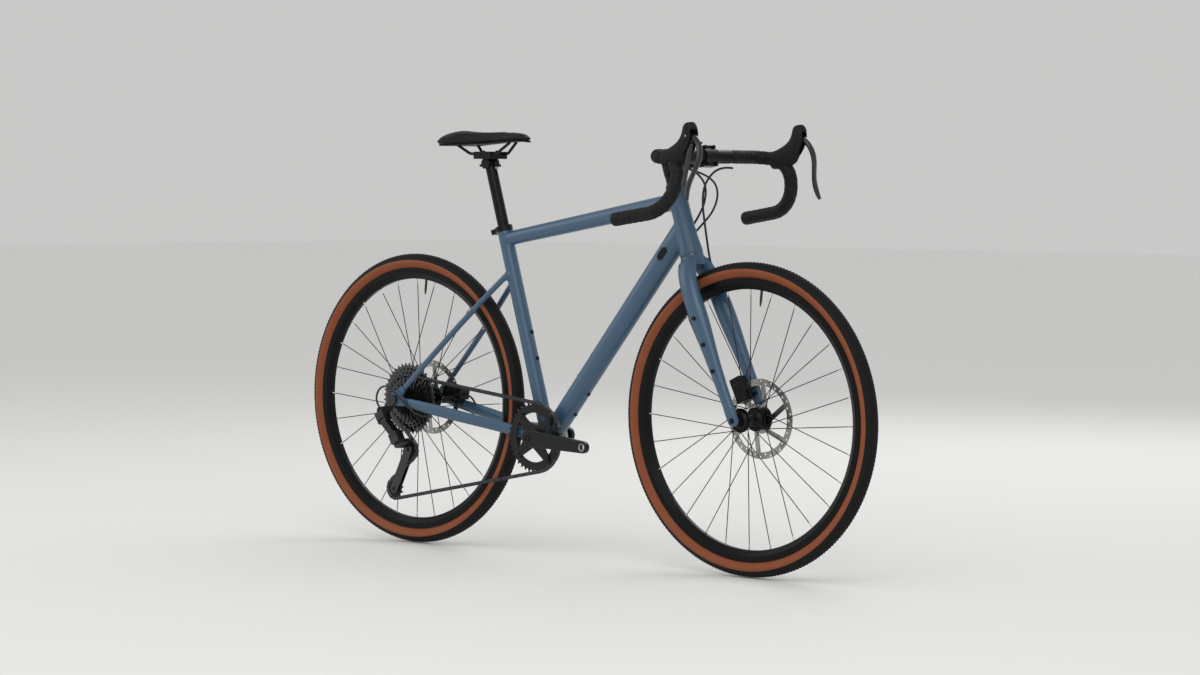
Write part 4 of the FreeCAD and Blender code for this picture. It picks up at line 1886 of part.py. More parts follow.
ports = pieces["frame_fittings"]
keep(grouped("ShiftHousing", [
    routed("ShiftFront", stem_side, SHIFT_FRONT_SHARES, s.housing_radius, tape_solids[0], down_outside,
           ports),
    routed("ShiftTail", rear_axle, SHIFT_TAIL_SHARES, s.housing_radius, stays[0][0],
           pieces["derailleur_knuckle"]),
]), "shift_housing")
keep(grouped("RearBrakeHose", [
    routed("BrakeFront", stem_side, BRAKE_FRONT_SHARES, s.hose_radius, tape_solids[0], down_outside, ports),
    routed("BrakeTail", brake_side, BRAKE_TAIL_SHARES, s.hose_radius, stays[1][0], pieces["rear_caliper"]),
]), "rear_brake_hose")
keep(routed("FrontBrakeHose", stem_side, FORK_HOSE_SHARES, s.hose_radius, tape_solids[1], legs[1], steerer),
     "front_brake_hose")

# Every piece is checked, then written to a file of its own
document.recompute()
for item in document.Objects:
    if "Invalid" in item.State or "Error" in item.State:
        raise RuntimeError(f"{item.Name} did not build")
os.makedirs("parts", exist_ok=True)
for label, item in pieces.items():
    if item.Shape.isNull() or not item.Shape.isValid() or not item.Shape.Solids:
        raise RuntimeError(f"{label} has no sound shape")
    item.Shape.exportStep(f"parts/{label}.step")
print(len(pieces), "pieces written")
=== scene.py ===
"""Looks of a gravel bike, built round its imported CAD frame."""

import logging
import math
from dataclasses import dataclass
from enum import Enum

import bpy
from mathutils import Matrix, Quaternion, Vector, geometry


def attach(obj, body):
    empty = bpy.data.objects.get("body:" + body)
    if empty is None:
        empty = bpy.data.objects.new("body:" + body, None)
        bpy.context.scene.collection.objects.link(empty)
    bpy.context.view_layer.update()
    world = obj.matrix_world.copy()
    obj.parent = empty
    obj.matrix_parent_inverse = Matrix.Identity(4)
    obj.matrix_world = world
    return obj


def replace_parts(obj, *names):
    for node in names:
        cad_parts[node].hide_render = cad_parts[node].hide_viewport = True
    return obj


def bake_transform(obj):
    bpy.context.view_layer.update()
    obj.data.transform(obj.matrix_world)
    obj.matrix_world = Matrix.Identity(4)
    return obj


log = logging.getLogger("gravel_bike")
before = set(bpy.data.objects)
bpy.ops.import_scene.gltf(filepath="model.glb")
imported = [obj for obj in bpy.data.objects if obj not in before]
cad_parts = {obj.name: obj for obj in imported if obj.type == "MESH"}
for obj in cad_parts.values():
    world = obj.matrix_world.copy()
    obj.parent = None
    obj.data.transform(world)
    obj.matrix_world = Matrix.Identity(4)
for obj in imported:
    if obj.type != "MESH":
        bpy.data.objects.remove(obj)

MM = 0.001
HOSE_REACH = 0.1
SAME_POINT = 0.02 * MM

Point = tuple[float, float, float]
Outline = tuple[tuple[float, float], ...]


class Slot(Enum):
    """Material slots of the record, by name."""

    TYRE = "tyre"
    GRIP = "bar_grip"
    HOSE = "hose"
    SADDLE = "saddle_cover"
    PAINT = "frame_paint"
    ALLOY = "black_alloy"
    DRIVE = "drive_steel"
    STEEL = "fitting_steel"


@dataclass(frozen=True)
class Layout:
    """Places of the bike that several sub-assemblies share, in metres.

    Args:
        rear_axle: Middle of the rear axle.
        front_axle: Middle of the front axle.
        bracket: Middle of the bottom bracket.
        bar_centre: Middle of the handlebar.
        wheel_radius: Radius over the tyre.
        tyre_radius: Radius of the tyre's section.
    """

    rear_axle: Point = (-0.521, 0.0, 0.351)
    front_axle: Point = (0.521, 0.0, 0.351)
    bracket: Point = (-0.086, 0.0, 0.281)
    bar_centre: Point = (0.393254, 0.0, 0.936376)
    wheel_radius: float = 0.351
    tyre_radius: float = 0.020


LAYOUT = Layout()


def srgb(code: str) -> tuple[float, float, float, float]:
    """Turns a hex colour into the linear values that shaders take.

    Args:
        code: Colour as six hex digits with a leading hash.

    Returns:
        Linear red, green and blue with full alpha.
    """
    linear = []
    for start in (1, 3, 5):
        level = int(code[start:start + 2], 16) / 255
        dark = level <= 0.04045
        linear.append(level / 12.92 if dark else ((level + 0.055) / 1.055) ** 2.4)
    return (*linear, 1.0)


def metres(outline: Outline) -> Outline:
    """Turns an outline in millimetres into metres.

    Args:
        outline: Places in millimetres.

    Returns:
        The same places in metres.
    """
    return tuple((across * MM, along * MM) for across, along in outline)


def add_node(tree: bpy.types.NodeTree, kind: str, values: dict | None = None,
             links: dict | None = None) -> bpy.types.Node:
    """Adds one shader node with its settings and inputs.

    Args:
        tree: Node tree that gets the node.
        kind: Type of the node without its common prefix.
        values: Settings by property name, or constants by socket name or number.
        links: Output sockets by the input they feed.

    Returns:
        The new node.
    """
    node = tree.nodes.new("ShaderNode" + kind)
    for key, value in (values or {}).items():
        if isinstance(key, str) and hasattr(node, key):
            setattr(node, key, value)
        else:
            node.inputs[key].default_value = value
    for key, source in (links or {}).items():
        tree.links.new(source, node.inputs[key])
    return node


# Range of the broad patches that the roughness follows, and strength of the fine grain.
PATCH_LOW = 0.3
PATCH_HIGH = 0.7
GRAIN_STRENGTH = 0.6


@dataclass(frozen=True)
class Finish:
    """A real material: its colour, gloss and fine grain.

    Args:
        name: What the material is.
        colour: Main colour.
        shade: Second colour that drifts into the first over broad patches.
        roughness: Mean roughness of the surface.
        drift: How far the roughness wanders to either side.
        metallic: One for bare metal.
        coat: Weight of a clear layer on top.
        coat_roughness: Roughness of that layer.
        grain: Width of the fine grain, in millimetres.
        depth: Height of the fine grain, in millimetres.
        patch: Width of the broad patches, in millimetres.
        edge: Radius that sharp edges seem to have, in millimetres.
        gloss: Strength of its reflections, a half for plain plastic.
    """

    name: str
    colour: str
    shade: str
    roughness: float
    drift: float = 0.05
    metallic: float = 0.0
    coat: float = 0.0
    coat_roughness: float = 0.1
    grain: float = 1.0
    depth: float = 0.02
    patch: float = 60.0
    edge: float = 0.0
    gloss: float = 0.5

    def material(self) -> bpy.types.Material:
        """Gives the finish as a material, made on first use.

        Returns:
            The material.
        """
        known = bpy.data.materials.get(self.name)
        if known:
            return known
        made = bpy.data.materials.new(self.name)
        made.use_nodes = True
        tree = made.node_tree
        tree.nodes.clear()
        place = add_node(tree, "TexCoord").outputs["Object"]
        patches = add_node(
            tree, "TexNoise", {"Scale": 1 / (self.patch * MM), "Detail": 4.0}, {"Vector": place},
        )
        colour = self.colour_socket(tree, place, patches.outputs["Fac"])
        rough = add_node(
            tree, "MapRange",
            {"From Min": PATCH_LOW, "From Max": PATCH_HIGH,
             "To Min": self.roughness - self.drift, "To Max": self.roughness + self.drift},
            {"Value": patches.outputs["Fac"]},
        )
        shader = add_node(
            tree, "BsdfPrincipled",
            {"Metallic": self.metallic, "Coat Weight": self.coat, "Coat Roughness": self.coat_roughness,
             "Specular IOR Level": self.gloss},
            {"Base Color": colour, "Roughness": rough.outputs["Result"],
             "Normal": self.normal_socket(tree, place)},
        )
        add_node(tree, "OutputMaterial", {}, {"Surface": shader.outputs["BSDF"]})
        self.adjust(tree, shader, place)
        return made

    def colour_socket(self, tree: bpy.types.NodeTree, place: bpy.types.NodeSocket,
                      patches: bpy.types.NodeSocket) -> bpy.types.NodeSocket:
        """Adds the nodes of the colour.

        Args:
            tree: Node tree of the material.
            place: Socket with the place on the object.
            patches: Socket with the broad patches.

        Returns:
            The socket that carries the colour.
        """
        mixed = add_node(
            tree, "Mix", {"data_type": "RGBA", 6: srgb(self.colour), 7: srgb(self.shade)}, {0: patches},
        )
        return mixed.outputs[2]

    def normal_socket(self, tree: bpy.types.NodeTree, place: bpy.types.NodeSocket) -> bpy.types.NodeSocket:
        """Adds the nodes of the fine grain, over edges that look rounded.

        Args:
            tree: Node tree of the material.
            place: Socket with the place on the object.

        Returns:
            The socket that carries the bent normal.
        """
        grain = add_node(
            tree, "TexNoise", {"Scale": 1 / (self.grain * MM), "Detail": 2.0}, {"Vector": place},
        )
        links = {"Height": grain.outputs["Fac"]}
        if self.edge:
            rounded = add_node(tree, "Bevel", {"samples": 4, "Radius": self.edge * MM})
            links["Normal"] = rounded.outputs["Normal"]
        bump = add_node(tree, "Bump", {"Strength": GRAIN_STRENGTH, "Distance": self.depth * MM}, links)
        return bump.outputs["Normal"]

    def adjust(self, tree: bpy.types.NodeTree, shader: bpy.types.Node,
               place: bpy.types.NodeSocket) -> None:
        """Gives a special finish the chance to change the shader.

        Args:
            tree: Node tree of the material.
            shader: The surface shader.
            place: Socket with the place on the object.
        """


@dataclass(frozen=True)
class RadialFinish(Finish):
    """A finish that changes colour with the distance from a wheel's axle.

    Args:
        centre: Point on the axle.
        border: Distance at which the colour changes, in millimetres.
        blur: Width over which it changes, in millimetres.
        outer: Colour beyond the border.
        outer_roughness: Roughness beyond the border.
        outer_metallic: Metal share beyond the border.
    """

    centre: Point = (0.0, 0.0, 0.0)
    border: float = 100.0
    blur: float = 0.6
    outer: str = "#808080"
    outer_roughness: float = 0.5
    outer_metallic: float = 0.0

    def beyond(self, tree: bpy.types.NodeTree, place: bpy.types.NodeSocket) -> bpy.types.NodeSocket:
        """Adds the nodes that tell the inner from the outer zone.

        Args:
            tree: Node tree of the material.
            place: Socket with the place on the object.

        Returns:
            Socket with zero inside the border and one beyond it.
        """
        from_axle = add_node(tree, "VectorMath", {"operation": "SUBTRACT", 1: self.centre}, {0: place})
        flat = add_node(
            tree, "VectorMath", {"operation": "MULTIPLY", 1: (1.0, 0.0, 1.0)}, {0: from_axle.outputs[0]},
        )
        distance = add_node(tree, "VectorMath", {"operation": "LENGTH"}, {0: flat.outputs[0]})
        half = self.blur / 2
        zone = add_node(
            tree, "MapRange",
            {"From Min": (self.border - half) * MM, "From Max": (self.border + half) * MM},
            {"Value": distance.outputs["Value"]},
        )
        return zone.outputs["Result"]

    def colour_socket(self, tree: bpy.types.NodeTree, place: bpy.types.NodeSocket,
                      patches: bpy.types.NodeSocket) -> bpy.types.NodeSocket:
        """Adds the nodes of the colour in both zones.

        Args:
            tree: Node tree of the material.
            place: Socket with the place on the object.
            patches: Socket with the broad patches.

        Returns:
            The socket that carries the colour.
        """
        inner = super().colour_socket(tree, place, patches)
        mixed = add_node(
            tree, "Mix", {"data_type": "RGBA", 7: srgb(self.outer)},
            {0: self.beyond(tree, place), 6: inner},
        )
        return mixed.outputs[2]

    def adjust(self, tree: bpy.types.NodeTree, shader: bpy.types.Node,
               place: bpy.types.NodeSocket) -> None:
        """Sets the gloss of both zones.

        Args:
            tree: Node tree of the material.
            shader: The surface shader.
            place: Socket with the place on the object.
        """
        zone = self.beyond(tree, place)
        inner = shader.inputs["Roughness"].links[0].from_socket
        rough = add_node(tree, "Mix", {3: self.outer_roughness}, {0: zone, 2: inner})
        metal = add_node(tree, "Mix", {2: self.metallic, 3: self.outer_metallic}, {0: zone})
        tree.links.new(rough.outputs[0], shader.inputs["Roughness"])
        tree.links.new(metal.outputs[0], shader.inputs["Metallic"])


# Reflections of the dull black pieces, weak enough that they stay black in a bright studio.
DEEP_BLACK = 0.22

# Satin powder coat: a calm petrol blue with a soft sheen and a faint orange peel.
PAINT = Finish("satin powder coat", "#34546d", "#315069", 0.36, 0.03, coat=0.25, coat_roughness=0.3,
               grain=1.6, depth=0.012, patch=140.0)
# Black anodised aluminium: deep grey metal that still catches long highlights.
ANODISED = Finish("black anodised aluminium", "#1b1c1e", "#151618", 0.36, 0.05, metallic=0.5, grain=0.5,
                  depth=0.006, edge=0.6, gloss=DEEP_BLACK)
# Forged and painted aluminium of the cranks: a smoother, darker black than the anodised pieces.
CRANK_PAINT = Finish("black painted forging", "#131416", "#101113", 0.31, 0.04, coat=0.12,
                     coat_roughness=0.22, grain=0.9, depth=0.008, edge=0.8, gloss=DEEP_BLACK)
# Blackened steel of bolts and axles: dark, slightly oily metal.
BLACK_STEEL = Finish("blackened steel", "#2a2a2b", "#222223", 0.34, 0.08, metallic=0.9, grain=0.4,
                     depth=0.006, edge=0.3)
# Bare bearing and fitting steel: plain light metal where a part has no coating.
BARE_STEEL = Finish("bare steel", "#a9a8a4", "#98978f", 0.3, 0.06, metallic=1.0, grain=0.4, depth=0.005)
# Blackened chain steel: dark grey plates with a thin film of oil that glints.
CHAIN_STEEL = Finish("oiled chain steel", "#565759", "#38393b", 0.3, 0.1, metallic=1.0, grain=0.8,
                     depth=0.01, patch=9.0)
# Cassette steel: stamped cogs, dark grey with worn bright spots.
COG_STEEL = Finish("stamped cog steel", "#67686a", "#3f4042", 0.3, 0.1, metallic=1.0, grain=0.7,
                   depth=0.01, patch=14.0)
# Moulded nylon: the matt black of pulleys and small covers.
NYLON = Finish("black nylon", "#1a1a1b", "#151516", 0.55, 0.05, grain=0.6, depth=0.02, gloss=DEEP_BLACK)
# Hood rubber: soft, dull black with a fine pebble.
HOOD_RUBBER = Finish("hood rubber", "#171718", "#121213", 0.62, 0.05, grain=0.9, depth=0.06, edge=1.2,
                     gloss=DEEP_BLACK)
# Bar tape: cushioned polymer with a dry leather grain.
TAPE = Finish("cushioned bar tape", "#18181a", "#111112", 0.6, 0.07, grain=1.3, depth=0.09, patch=22.0,
              gloss=DEEP_BLACK)
# Lever paint: glossy black that shows bright edges along the blade.
LEVER_PAINT = Finish("gloss lever paint", "#1c1d1f", "#18191b", 0.24, 0.03, metallic=0.35, coat=0.5,
                     coat_roughness=0.12, grain=0.6, depth=0.004, edge=0.7)
# Hose jacket: smooth extruded plastic.
JACKET = Finish("hose jacket", "#121213", "#0f0f10", 0.42, 0.04, grain=0.5, depth=0.008)
# Saddle cover: bonded microfibre with a very fine, dull grain.
MICROFIBRE = Finish("saddle microfibre", "#19191a", "#131314", 0.58, 0.06, grain=0.8, depth=0.035,
                    patch=40.0, gloss=DEEP_BLACK)
# Brake pad compound: gritty dark resin on a steel plate.
COMPOUND = Finish("pad compound", "#3b332d", "#2b2622", 0.8, 0.05, grain=0.5, depth=0.05)
# Studio floor: plain matt paper.
PAPER = Finish("studio paper", "#e4e3e0", "#e2e1de", 0.85, 0.02, grain=4.0, depth=0.02, patch=900.0)


def wheel_finishes(side: str, axle: Point) -> dict[str, Finish]:
    """Makes the finishes that depend on the distance from one axle.

    Args:
        side: Front or rear.
        axle: Point on the axle.

    Returns:
        The finishes by what they cover.
    """
    return {
        # Tan casing below the tread: bare ochre cotton under thin rubber, then black tread.
        "tyre": RadialFinish(f"{side} tan wall tyre", "#8a4d30", "#7f4529", 0.6, 0.06, grain=0.7,
                             depth=0.04, patch=30.0, centre=axle, border=336.5, blur=0.8, outer="#121212",
                             outer_roughness=0.72, gloss=DEEP_BLACK),
        # Black spokes that end in bright nipples at the rim.
        "spokes": RadialFinish(f"{side} black spoke steel", "#1d1d1e", "#171718", 0.35, 0.05, metallic=0.8,
                               grain=0.4, depth=0.003, centre=axle, border=279.0, blur=0.3, outer="#c9c7c2",
                               outer_roughness=0.25, outer_metallic=1.0),
        # Ground stainless disc, with a dark lock ring in the middle.
        "rotor": RadialFinish(f"{side} ground stainless", "#2a2a2b", "#232324", 0.4, 0.05, metallic=0.8,
                              grain=0.3, depth=0.004, centre=axle, border=24.0, blur=0.4, outer="#a3a29f",
                              outer_roughness=0.27, outer_metallic=1.0),
        # Valve below the rim in brass grey, the rim itself in black.
        "rim": RadialFinish(f"{side} black rim", "#4a4743", "#3f3c38", 0.35, 0.04, metallic=0.9, grain=0.5,
                            depth=0.005, centre=axle, border=289.5, blur=0.4, outer="#121314",
                            outer_roughness=0.36, outer_metallic=0.5, gloss=DEEP_BLACK),
    }


class Bench:
    """Modelling by operators, as by hand."""

    # Outline of a bolt head with a socket: shares of its radius and of its height.
    socket_outline: Outline = ((1.0, 0.0), (1.0, 0.8), (0.88, 1.0), (0.56, 1.0), (0.5, 0.85), (0.5, 0.3),
                               (0.0, 0.25))
    socket_sides: int = 24

    @staticmethod
    def clear() -> None:
        """Leaves edit mode and deselects everything."""
        if bpy.context.mode != "OBJECT":
            Bench.close()
        bpy.ops.object.select_all(action="DESELECT")

    @staticmethod
    def pick(*items: bpy.types.Object) -> None:
        """Selects some objects, the last of them active.

        Args:
            items: Objects to select.
        """
        Bench.clear()
        for item in items:
            item.select_set(True)
        bpy.context.view_layer.objects.active = items[-1]

    @staticmethod
    def open_all() -> None:
        """Opens the active mesh for editing, with everything selected."""
        bpy.ops.object.mode_set(mode="EDIT")
        bpy.ops.mesh.select_all(action="SELECT")

    @staticmethod
    def close() -> None:
        """Goes back to object mode."""
        bpy.ops.object.mode_set(mode="OBJECT")

    @staticmethod
    def named(name: str) -> bpy.types.Object:
        """Names the active object and its data.

        Args:
            name: New name.

        Returns:
            The active object.
        """
        item = bpy.context.active_object
        item.name = name
        item.data.name = name
        return item

    @staticmethod
    def apply_all(item: bpy.types.Object) -> None:
        """Applies every modifier in order.

        Args:
            item: Object with modifiers.
        """
        Bench.pick(item)
        for modifier in list(item.modifiers):
            bpy.ops.object.modifier_apply(modifier=modifier.name)

    @staticmethod
    def even_out(item: bpy.types.Object, voxel: float, rounds: int) -> None:
        """Gives a mesh even faces and softens its edges.

        Args:
            item: Object to treat.
            voxel: Size of its faces.
            rounds: How often its edges are softened.
        """
        even = item.modifiers.new("even", "REMESH")
        even.mode = "VOXEL"
        even.voxel_size = voxel
        soften = item.modifiers.new("soften", "SMOOTH")
        soften.factor = 0.5
        soften.iterations = rounds
        Bench.apply_all(item)

    @staticmethod
    def settle(item: bpy.types.Object) -> None:
        """Puts the object's place into its mesh.

        Args:
            item: Object to settle.
        """
        Bench.pick(item)
        bpy.ops.object.transform_apply(location=True, rotation=True, scale=True)

    @staticmethod
    def copied(name: str, nodes: tuple[str, ...]) -> bpy.types.Object:
        """Joins copies of CAD pieces into one mesh with merged points.

        Args:
            name: Name of the new object.
            nodes: CAD nodes to copy.

        Returns:
            The joined copy.
        """
        twins = []
        for node in nodes:
            twin = bpy.data.objects.new(node + "_copy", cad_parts[node].data.copy())
            bpy.context.scene.collection.objects.link(twin)
            twins.append(twin)
        Bench.pick(*twins)
        if len(twins) > 1:
            bpy.ops.object.join()
        whole = Bench.named(name)
        Bench.open_all()
        bpy.ops.mesh.remove_doubles(threshold=SAME_POINT)
        Bench.close()
        return whole

    @staticmethod
    def draw(name: str, outline: Outline) -> bpy.types.Object:
        """Draws an open line point by point, and leaves it open for editing.

        Args:
            name: Name of the line.
            outline: Places along X and Z.

        Returns:
            The line.
        """
        Bench.clear()
        bpy.ops.mesh.primitive_plane_add(size=2 * MM)
        line = Bench.named(name)
        Bench.open_all()
        bpy.ops.mesh.merge(type="CENTER")
        bpy.ops.transform.translate(value=(outline[0][0], 0.0, outline[0][1]))
        for before, after in zip(outline, outline[1:]):
            step = (after[0] - before[0], 0.0, after[1] - before[1])
            bpy.ops.mesh.extrude_region_move(TRANSFORM_OT_translate={"value": step})
        return line

    @staticmethod
    def rod(name: str, start: Vector, end: Vector, radius: float, sides: int = 48) -> bpy.types.Object:
        """Adds a plain round rod between two points.

        Args:
            name: Name of the rod.
            start: Middle of one end.
            end: Middle of the other end.
            radius: Radius of the rod.
            sides: Number of its sides.

        Returns:
            The rod, settled in place.
        """
        Bench.clear()
        line = Vector(end) - Vector(start)
        bpy.ops.mesh.primitive_cylinder_add(vertices=sides, radius=radius, depth=line.length,
                                            location=(Vector(start) + Vector(end)) / 2,
                                            rotation=line.to_track_quat("Z", "Y").to_euler())
        rod = Bench.named(name)
        Bench.settle(rod)
        return rod

    @staticmethod
    def lathe(name: str, outline: Outline, foot: Vector, axis: Vector, steps: int = 40) -> bpy.types.Object:
        """Spins an outline round an axis.

        Args:
            name: Name of the piece.
            outline: Distances from the axis and along it.
            foot: Point on the axis that the outline starts from.
            axis: Direction of the axis.
            steps: Number of sides.

        Returns:
            The turned piece, settled in place.
        """
        piece = Bench.draw(name, outline)
        bpy.ops.mesh.select_all(action="SELECT")
        bpy.ops.mesh.spin(steps=steps, angle=2 * math.pi, center=(0.0, 0.0, 0.0), axis=(0.0, 0.0, 1.0))
        bpy.ops.mesh.select_all(action="SELECT")
        bpy.ops.mesh.remove_doubles(threshold=SAME_POINT / 2)
        Bench.close()
        piece.rotation_euler = Vector(axis).to_track_quat("Z", "Y").to_euler()
        piece.location = foot
        Bench.settle(piece)
        Bench.outward(piece, angle=35.0)
        return piece

    @staticmethod
    def socket_bolt(name: str, foot: Vector, axis: Vector, radius: float,
                    height: float) -> bpy.types.Object:
        """Models a round bolt head with a socket in it.

        Args:
            name: Name of the bolt.
            foot: Middle of the face it sits on.
            axis: Direction that the head points to.
            radius: Radius of the head.
            height: Height of the head.

        Returns:
            The bolt head.
        """
        outline = tuple((radius * across, height * up) for across, up in Bench.socket_outline)
        return Bench.lathe(name, outline, foot, axis, Bench.socket_sides)

    @staticmethod
    def outward(item: bpy.types.Object, angle: float = 40.0) -> None:
        """Points the normals outward and shades the mesh smooth up to an angle.

        Args:
            item: Object to treat.
            angle: Steepest edge that still looks smooth, in degrees.
        """
        Bench.pick(item)
        Bench.open_all()
        bpy.ops.mesh.normals_make_consistent(inside=False)
        Bench.close()
        bpy.ops.object.shade_smooth_by_angle(angle=math.radians(angle))


def dress(item: bpy.types.Object, finish: Finish) -> None:
    """Gives an object one finish all over.

    Args:
        item: Object to dress.
        finish: Its finish.
    """
    item.data.materials.clear()
    item.data.materials.append(finish.material())


@dataclass(frozen=True)
class Lamp:
    """A soft box.

    Args:
        name: Name of the lamp.
        place: Where it stands.
        width: Width of its face.
        power: Its power, in watts.
    """

    name: str
    place: Point
    width: float
    power: float


@dataclass
class Studio:
    """Camera, floor and soft lights.

    Args:
        place: Where the camera stands.
        forward: Direction in which it looks.
        roll: Turn of the camera about that direction.
        lens: Its focal length, in millimetres.
        sensor: Width of its sensor, in millimetres.
        sight: How far it sees.
        floor_width: Width of the floor.
        floor_level: Height of the floor.
        lamps: The soft boxes.
        lamp_target: Point that they face.
        sky_colour: Colour of the light from all round.
        sky_strength: Strength of that light.
        shown_colour: Background that the camera and reflections see.
    """

    place: Point = (5.138, -5.707, 0.878)
    forward: Point = (-0.6629, 0.7472, -0.0470)
    roll: float = math.radians(0.258)
    lens: float = 99.06
    sensor: float = 36.0
    sight: float = 200.0
    floor_width: float = 60.0
    floor_level: float = -1.8 * MM
    lamps: tuple[Lamp, ...] = (
        Lamp("key", (2.6, -3.6, 3.8), 3.4, 80.0),
        Lamp("fill", (-3.8, -2.6, 2.4), 2.8, 30.0),
        Lamp("rim", (-0.8, 3.8, 3.2), 3.0, 50.0),
    )
    lamp_target: Point = (0.0, 0.0, 0.5)
    sky_colour: str = "#f4f5f6"
    sky_strength: float = 0.8
    shown_colour: str = "#c9c9c8"

    def build(self) -> None:
        """Sets up the whole studio."""
        self.add_camera()
        self.add_floor()
        self.add_lights()
        self.add_sky()
        bpy.context.scene.view_settings.view_transform = "Standard"

    def add_camera(self) -> None:
        """Adds the camera from the photo's point of view."""
        data = bpy.data.cameras.new("camera")
        data.sensor_width = self.sensor
        data.lens = self.lens
        data.clip_end = self.sight
        camera = bpy.data.objects.new("camera", data)
        bpy.context.scene.collection.objects.link(camera)
        camera.location = self.place
        camera.rotation_mode = "QUATERNION"
        turn = Vector(self.forward).to_track_quat("-Z", "Y")
        camera.rotation_quaternion = turn @ Quaternion((0.0, 0.0, 1.0), self.roll)
        bpy.context.scene.camera = camera

    def add_floor(self) -> None:
        """Adds a wide sheet of pale paper under the wheels."""
        Bench.clear()
        bpy.ops.mesh.primitive_plane_add(size=self.floor_width, location=(0.0, 0.0, self.floor_level))
        floor = Bench.named("floor")
        Bench.settle(floor)
        dress(floor, PAPER)

    def add_lights(self) -> None:
        """Adds the soft boxes."""
        for lamp in self.lamps:
            data = bpy.data.lights.new(lamp.name, "AREA")
            data.size = lamp.width
            data.energy = lamp.power
            box = bpy.data.objects.new(lamp.name, data)
            bpy.context.scene.collection.objects.link(box)
            box.location = lamp.place
            box.rotation_mode = "QUATERNION"
            aim = Vector(self.lamp_target) - Vector(lamp.place)
            box.rotation_quaternion = aim.to_track_quat("-Z", "Y")

    def add_sky(self) -> None:
        """Adds an even sky that is a pale grey to the camera and in reflections."""
        world = bpy.data.worlds.new("sky")
        bpy.context.scene.world = world
        world.use_nodes = True
        tree = world.node_tree
        tree.nodes.clear()
        even = add_node(tree, "Background", {"Color": srgb(self.sky_colour), "Strength": self.sky_strength})
        shown = add_node(tree, "Background", {"Color": srgb(self.shown_colour), "Strength": 1.0})
        ray = add_node(tree, "LightPath")
        seen = ray.outputs["Is Camera Ray"]
        for kind in ("Is Glossy Ray", "Is Transmission Ray"):
            larger = add_node(tree, "Math", {"operation": "MAXIMUM"}, {0: seen, 1: ray.outputs[kind]})
            seen = larger.outputs[0]
        mixed = add_node(tree, "MixShader", {}, {0: seen, 1: even.outputs["Background"],
                                                 2: shown.outputs["Background"]})
        add_node(tree, "OutputWorld", {}, {"Surface": mixed.outputs["Shader"]})


@dataclass
class Wheel:
    """One wheel: finishes of its CAD pieces and the tread on its tyre.

    Args:
        side: Front or rear.
        axle: Point on the axle.
        rows: Rows of lugs, from the left shoulder to one row short of the right one.
        spread: Angle from the tread's middle to its shoulders.
        steps: Lugs in each row.
        lug_corners: Corners at the foot of a lug.
        lug_radius: Radius of a lug at its foot.
        lug_top: Radius of a lug at its top.
        lug_height: Height of a lug.
        lug_lift: Share of its height by which a lug's middle stands above the tyre.
    """

    side: str
    axle: Point
    rows: int = 8
    spread: float = math.radians(58.0)
    steps: int = 230
    lug_corners: int = 4
    lug_radius: float = 2.7 * MM
    lug_top: float = 1.9 * MM
    lug_height: float = 1.4 * MM
    lug_lift: float = 0.1

    def pick_first_lug(self, tread: bpy.types.Object) -> None:
        """Selects the lug that the others are copied from.

        Args:
            tread: Tread, open for editing.
        """
        bpy.ops.mesh.select_all(action="DESELECT")
        Bench.close()
        for index, vertex in enumerate(tread.data.vertices):
            vertex.select = index < 2 * self.lug_corners
        bpy.ops.object.mode_set(mode="EDIT")

    def build(self) -> None:
        """Models the tread: one slice of diamond lugs, spun round the axle."""
        Bench.clear()
        centre = Vector(self.axle)
        origin = (0.0, 0.0, 0.0)
        crown = LAYOUT.wheel_radius - LAYOUT.tyre_radius
        step = 2 * math.pi / self.steps
        bpy.ops.mesh.primitive_cone_add(vertices=self.lug_corners, radius1=self.lug_radius,
                                        radius2=self.lug_top, depth=self.lug_height, end_fill_type="NGON")
        lug = Bench.named(f"{self.side}_tread")
        Bench.open_all()
        lift = LAYOUT.tyre_radius + self.lug_height * self.lug_lift
        bpy.ops.transform.translate(value=(0.0, 0.0, lift))
        for row in range(self.rows):
            share = row / self.rows * 2 - 1
            self.pick_first_lug(lug)
            bpy.ops.mesh.duplicate()
            bpy.ops.transform.rotate(value=-share * self.spread, orient_axis="X", center_override=origin)
            bpy.ops.transform.translate(value=(0.0, 0.0, crown))
            if row % 2:
                bpy.ops.transform.rotate(value=step / 2, orient_axis="Y", center_override=origin)
        self.pick_first_lug(lug)
        bpy.ops.mesh.delete(type="VERT")
        bpy.ops.mesh.select_all(action="SELECT")
        bpy.ops.transform.translate(value=centre)
        bpy.ops.mesh.spin(steps=self.steps - 1, dupli=True, angle=step * (self.steps - 1),
                          center=centre, axis=(0.0, 1.0, 0.0))
        Bench.close()
        self.tread = lug
        Bench.settle(lug)
        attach(lug, f"{self.side}_wheel")

    def dress(self) -> None:
        """Gives the wheel its finishes."""
        finishes = wheel_finishes(self.side, self.axle)
        for piece in ("tyre", "spokes", "rotor", "rim"):
            dress(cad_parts[f"{self.side}_{piece}"], finishes[piece])
        dress(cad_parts[f"{self.side}_hub"], ANODISED)
        dress(self.tread, finishes["tyre"])


